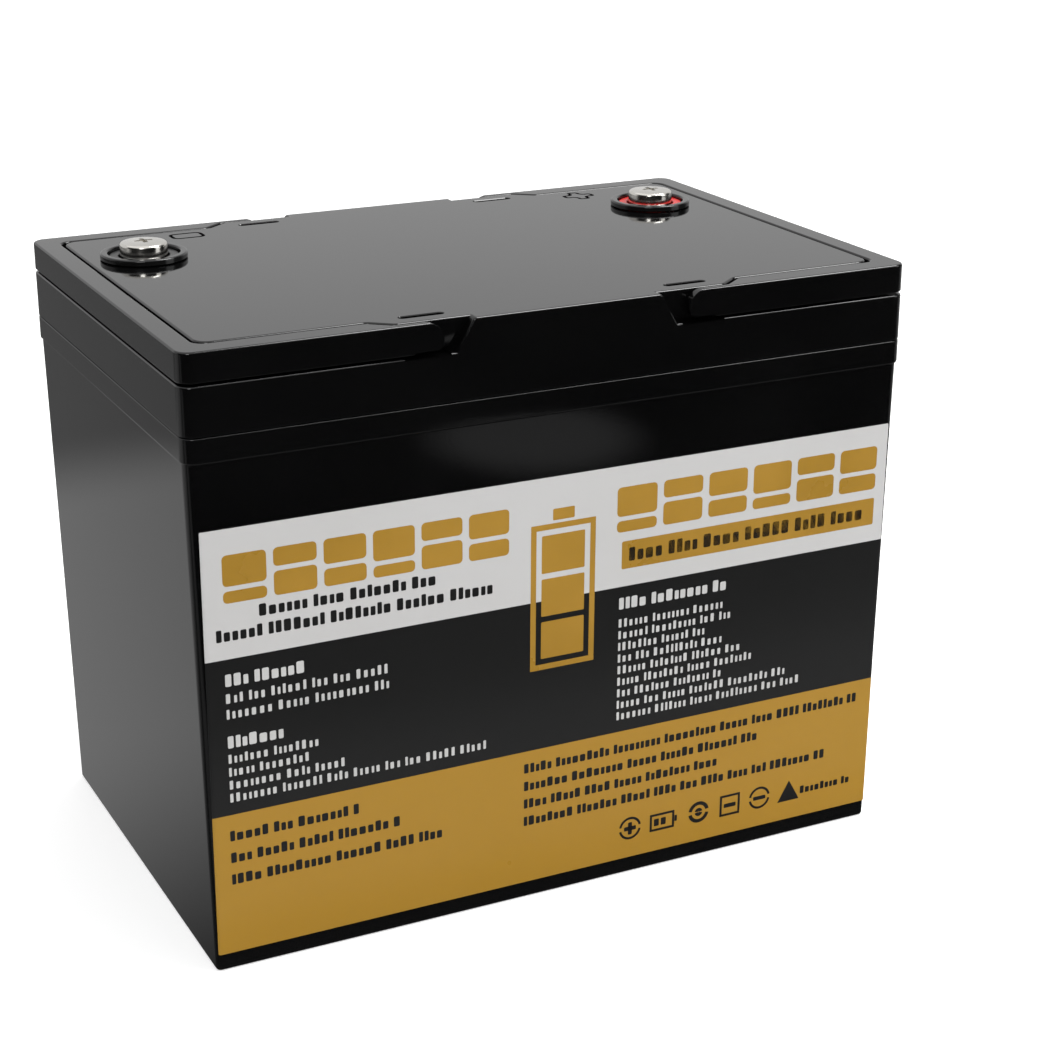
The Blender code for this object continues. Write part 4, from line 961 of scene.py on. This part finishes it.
def make_world():
    """White all round for the lens. For light and reflections: bright behind and overhead only."""
    world = bpy.data.worlds.new("studio")
    bpy.context.scene.world = world
    world.use_nodes = True
    nodes, links = world.node_tree.nodes, world.node_tree.links
    place = nodes.new("ShaderNodeTexCoord")
    split = nodes.new("ShaderNodeSeparateXYZ")
    links.new(place.outputs["Generated"], split.inputs["Vector"])
    behind = band(nodes, links, split.outputs["Y"], 0.0, 0.4, FRONT_GLOW, BACK_GLOW)
    overhead = band(nodes, links, split.outputs["Z"], 0.5, 0.75, 0, TOP_GLOW)
    glow = combined(nodes, links, "MAXIMUM", behind, overhead)
    path = nodes.new("ShaderNodeLightPath")
    pick = nodes.new("ShaderNodeMix")
    pick.data_type = "FLOAT"
    links.new(path.outputs["Is Camera Ray"], pick.inputs["Factor"])
    links.new(glow, pick.inputs["A"])
    pick.inputs["B"].default_value = 1.0
    links.new(pick.outputs["Result"], nodes["Background"].inputs["Strength"])
    nodes["Background"].inputs["Color"].default_value = (1, 1, 1, 1)


def make_floor():
    """A pale floor, lifted to an even white for the lens. For glossy rays it glows instead, though it is no
    lamp: painted reflections of a dark table in front and a grey one behind, with a glowing strip close in
    front of the battery and one soft light patch further out in front."""
    mesh = box_mesh("floor", (-8, -8, -0.02), (8, 8, 0))
    floor = bpy.data.objects.new("floor", mesh)
    bpy.context.scene.collection.objects.link(floor)
    made, nodes, links, shader = shader_nodes("pale_floor")
    shader.inputs["Base Color"].default_value = (0.9, 0.9, 0.9, 1)
    shader.inputs["Roughness"].default_value = 0.8
    shader.inputs["Specular IOR Level"].default_value = 0.1
    place = nodes.new("ShaderNodeTexCoord")
    split = nodes.new("ShaderNodeSeparateXYZ")
    links.new(place.outputs["Object"], split.inputs["Vector"])
    near = band(nodes, links, split.outputs["Y"], -0.14, 0.12, FLOOR_FRONT, FLOOR_BACK)
    far = band(nodes, links, split.outputs["Y"], 0.37, 0.50, FLOOR_BACK, FLOOR_FAR)
    behind = combined(nodes, links, "MINIMUM", near, far)
    # A glowing strip just in front of the battery: painted light that gives the rim and the lower edges
    # their highlight lines.
    strip_start = band(nodes, links, split.outputs["Y"], -0.26, -0.20, 0, FLOOR_STRIP)
    strip_end = band(nodes, links, split.outputs["Y"], -0.12, -0.10, FLOOR_STRIP, 0)
    strip = combined(nodes, links, "MINIMUM", strip_start, strip_end)
    # One soft glowing patch in front: a painted reflection on the front of the case.
    spot = nodes.new("ShaderNodeVectorMath")
    spot.operation = "DISTANCE"
    spot.inputs[1].default_value = (0.205, -0.515, 0)
    links.new(place.outputs["Object"], spot.inputs[0])
    patch = band(nodes, links, spot.outputs["Value"], 0.035, 0.075, FLOOR_PATCH, 0)
    # What glossy rays see: the floor glowing as painted reflections, with no lamp there.
    glossy_glow = nodes.new("ShaderNodeEmission")
    front = combined(nodes, links, "MAXIMUM", strip, patch)
    links.new(combined(nodes, links, "MAXIMUM", behind, front), glossy_glow.inputs["Strength"])
    lift = nodes.new("ShaderNodeEmission")
    blend = nodes.new("ShaderNodeMixShader")
    path = nodes.new("ShaderNodeLightPath")
    shown = nodes.new("ShaderNodeMath")
    shown.operation = "MULTIPLY"
    shown.inputs[1].default_value = 0.45
    links.new(path.outputs["Is Camera Ray"], shown.inputs[0])
    links.new(shown.outputs["Value"], lift.inputs["Strength"])
    seen = nodes.new("ShaderNodeAddShader")
    links.new(shader.outputs["BSDF"], seen.inputs[0])
    links.new(lift.outputs["Emission"], seen.inputs[1])
    links.new(path.outputs["Is Glossy Ray"], blend.inputs["Fac"])
    links.new(seen.outputs["Shader"], blend.inputs[1])
    links.new(glossy_glow.outputs["Emission"], blend.inputs[2])
    links.new(blend.outputs["Shader"], nodes["Material Output"].inputs["Surface"])
    mesh.materials.append(made)


def make_studio():
    bpy.context.scene.view_settings.view_transform = "Standard"
    make_world()
    make_floor()
    middle = (0, 0, 0.11)
    area_light("top_box", (0.66, -0.25, 1.4), middle, (0.5, 0.7), 15)
    area_light("key_box", (-0.75, -1.2, 0.95), middle, (0.5, 0.5), 5)
    area_light("fill_box", (1.2, -0.9, 0.7), middle, (0.7, 0.9), 4)


make_camera()
make_case()
make_lid()
make_handle("left", -1)
make_handle("right", 1)
for pole in ("negative", "positive"):
    make_collar(pole)
    make_polarity_ring(pole)
    make_bolt(pole)
    make_washers(pole)
    make_insert(pole)
make_label()
make_print()
dress_inside()
make_studio()
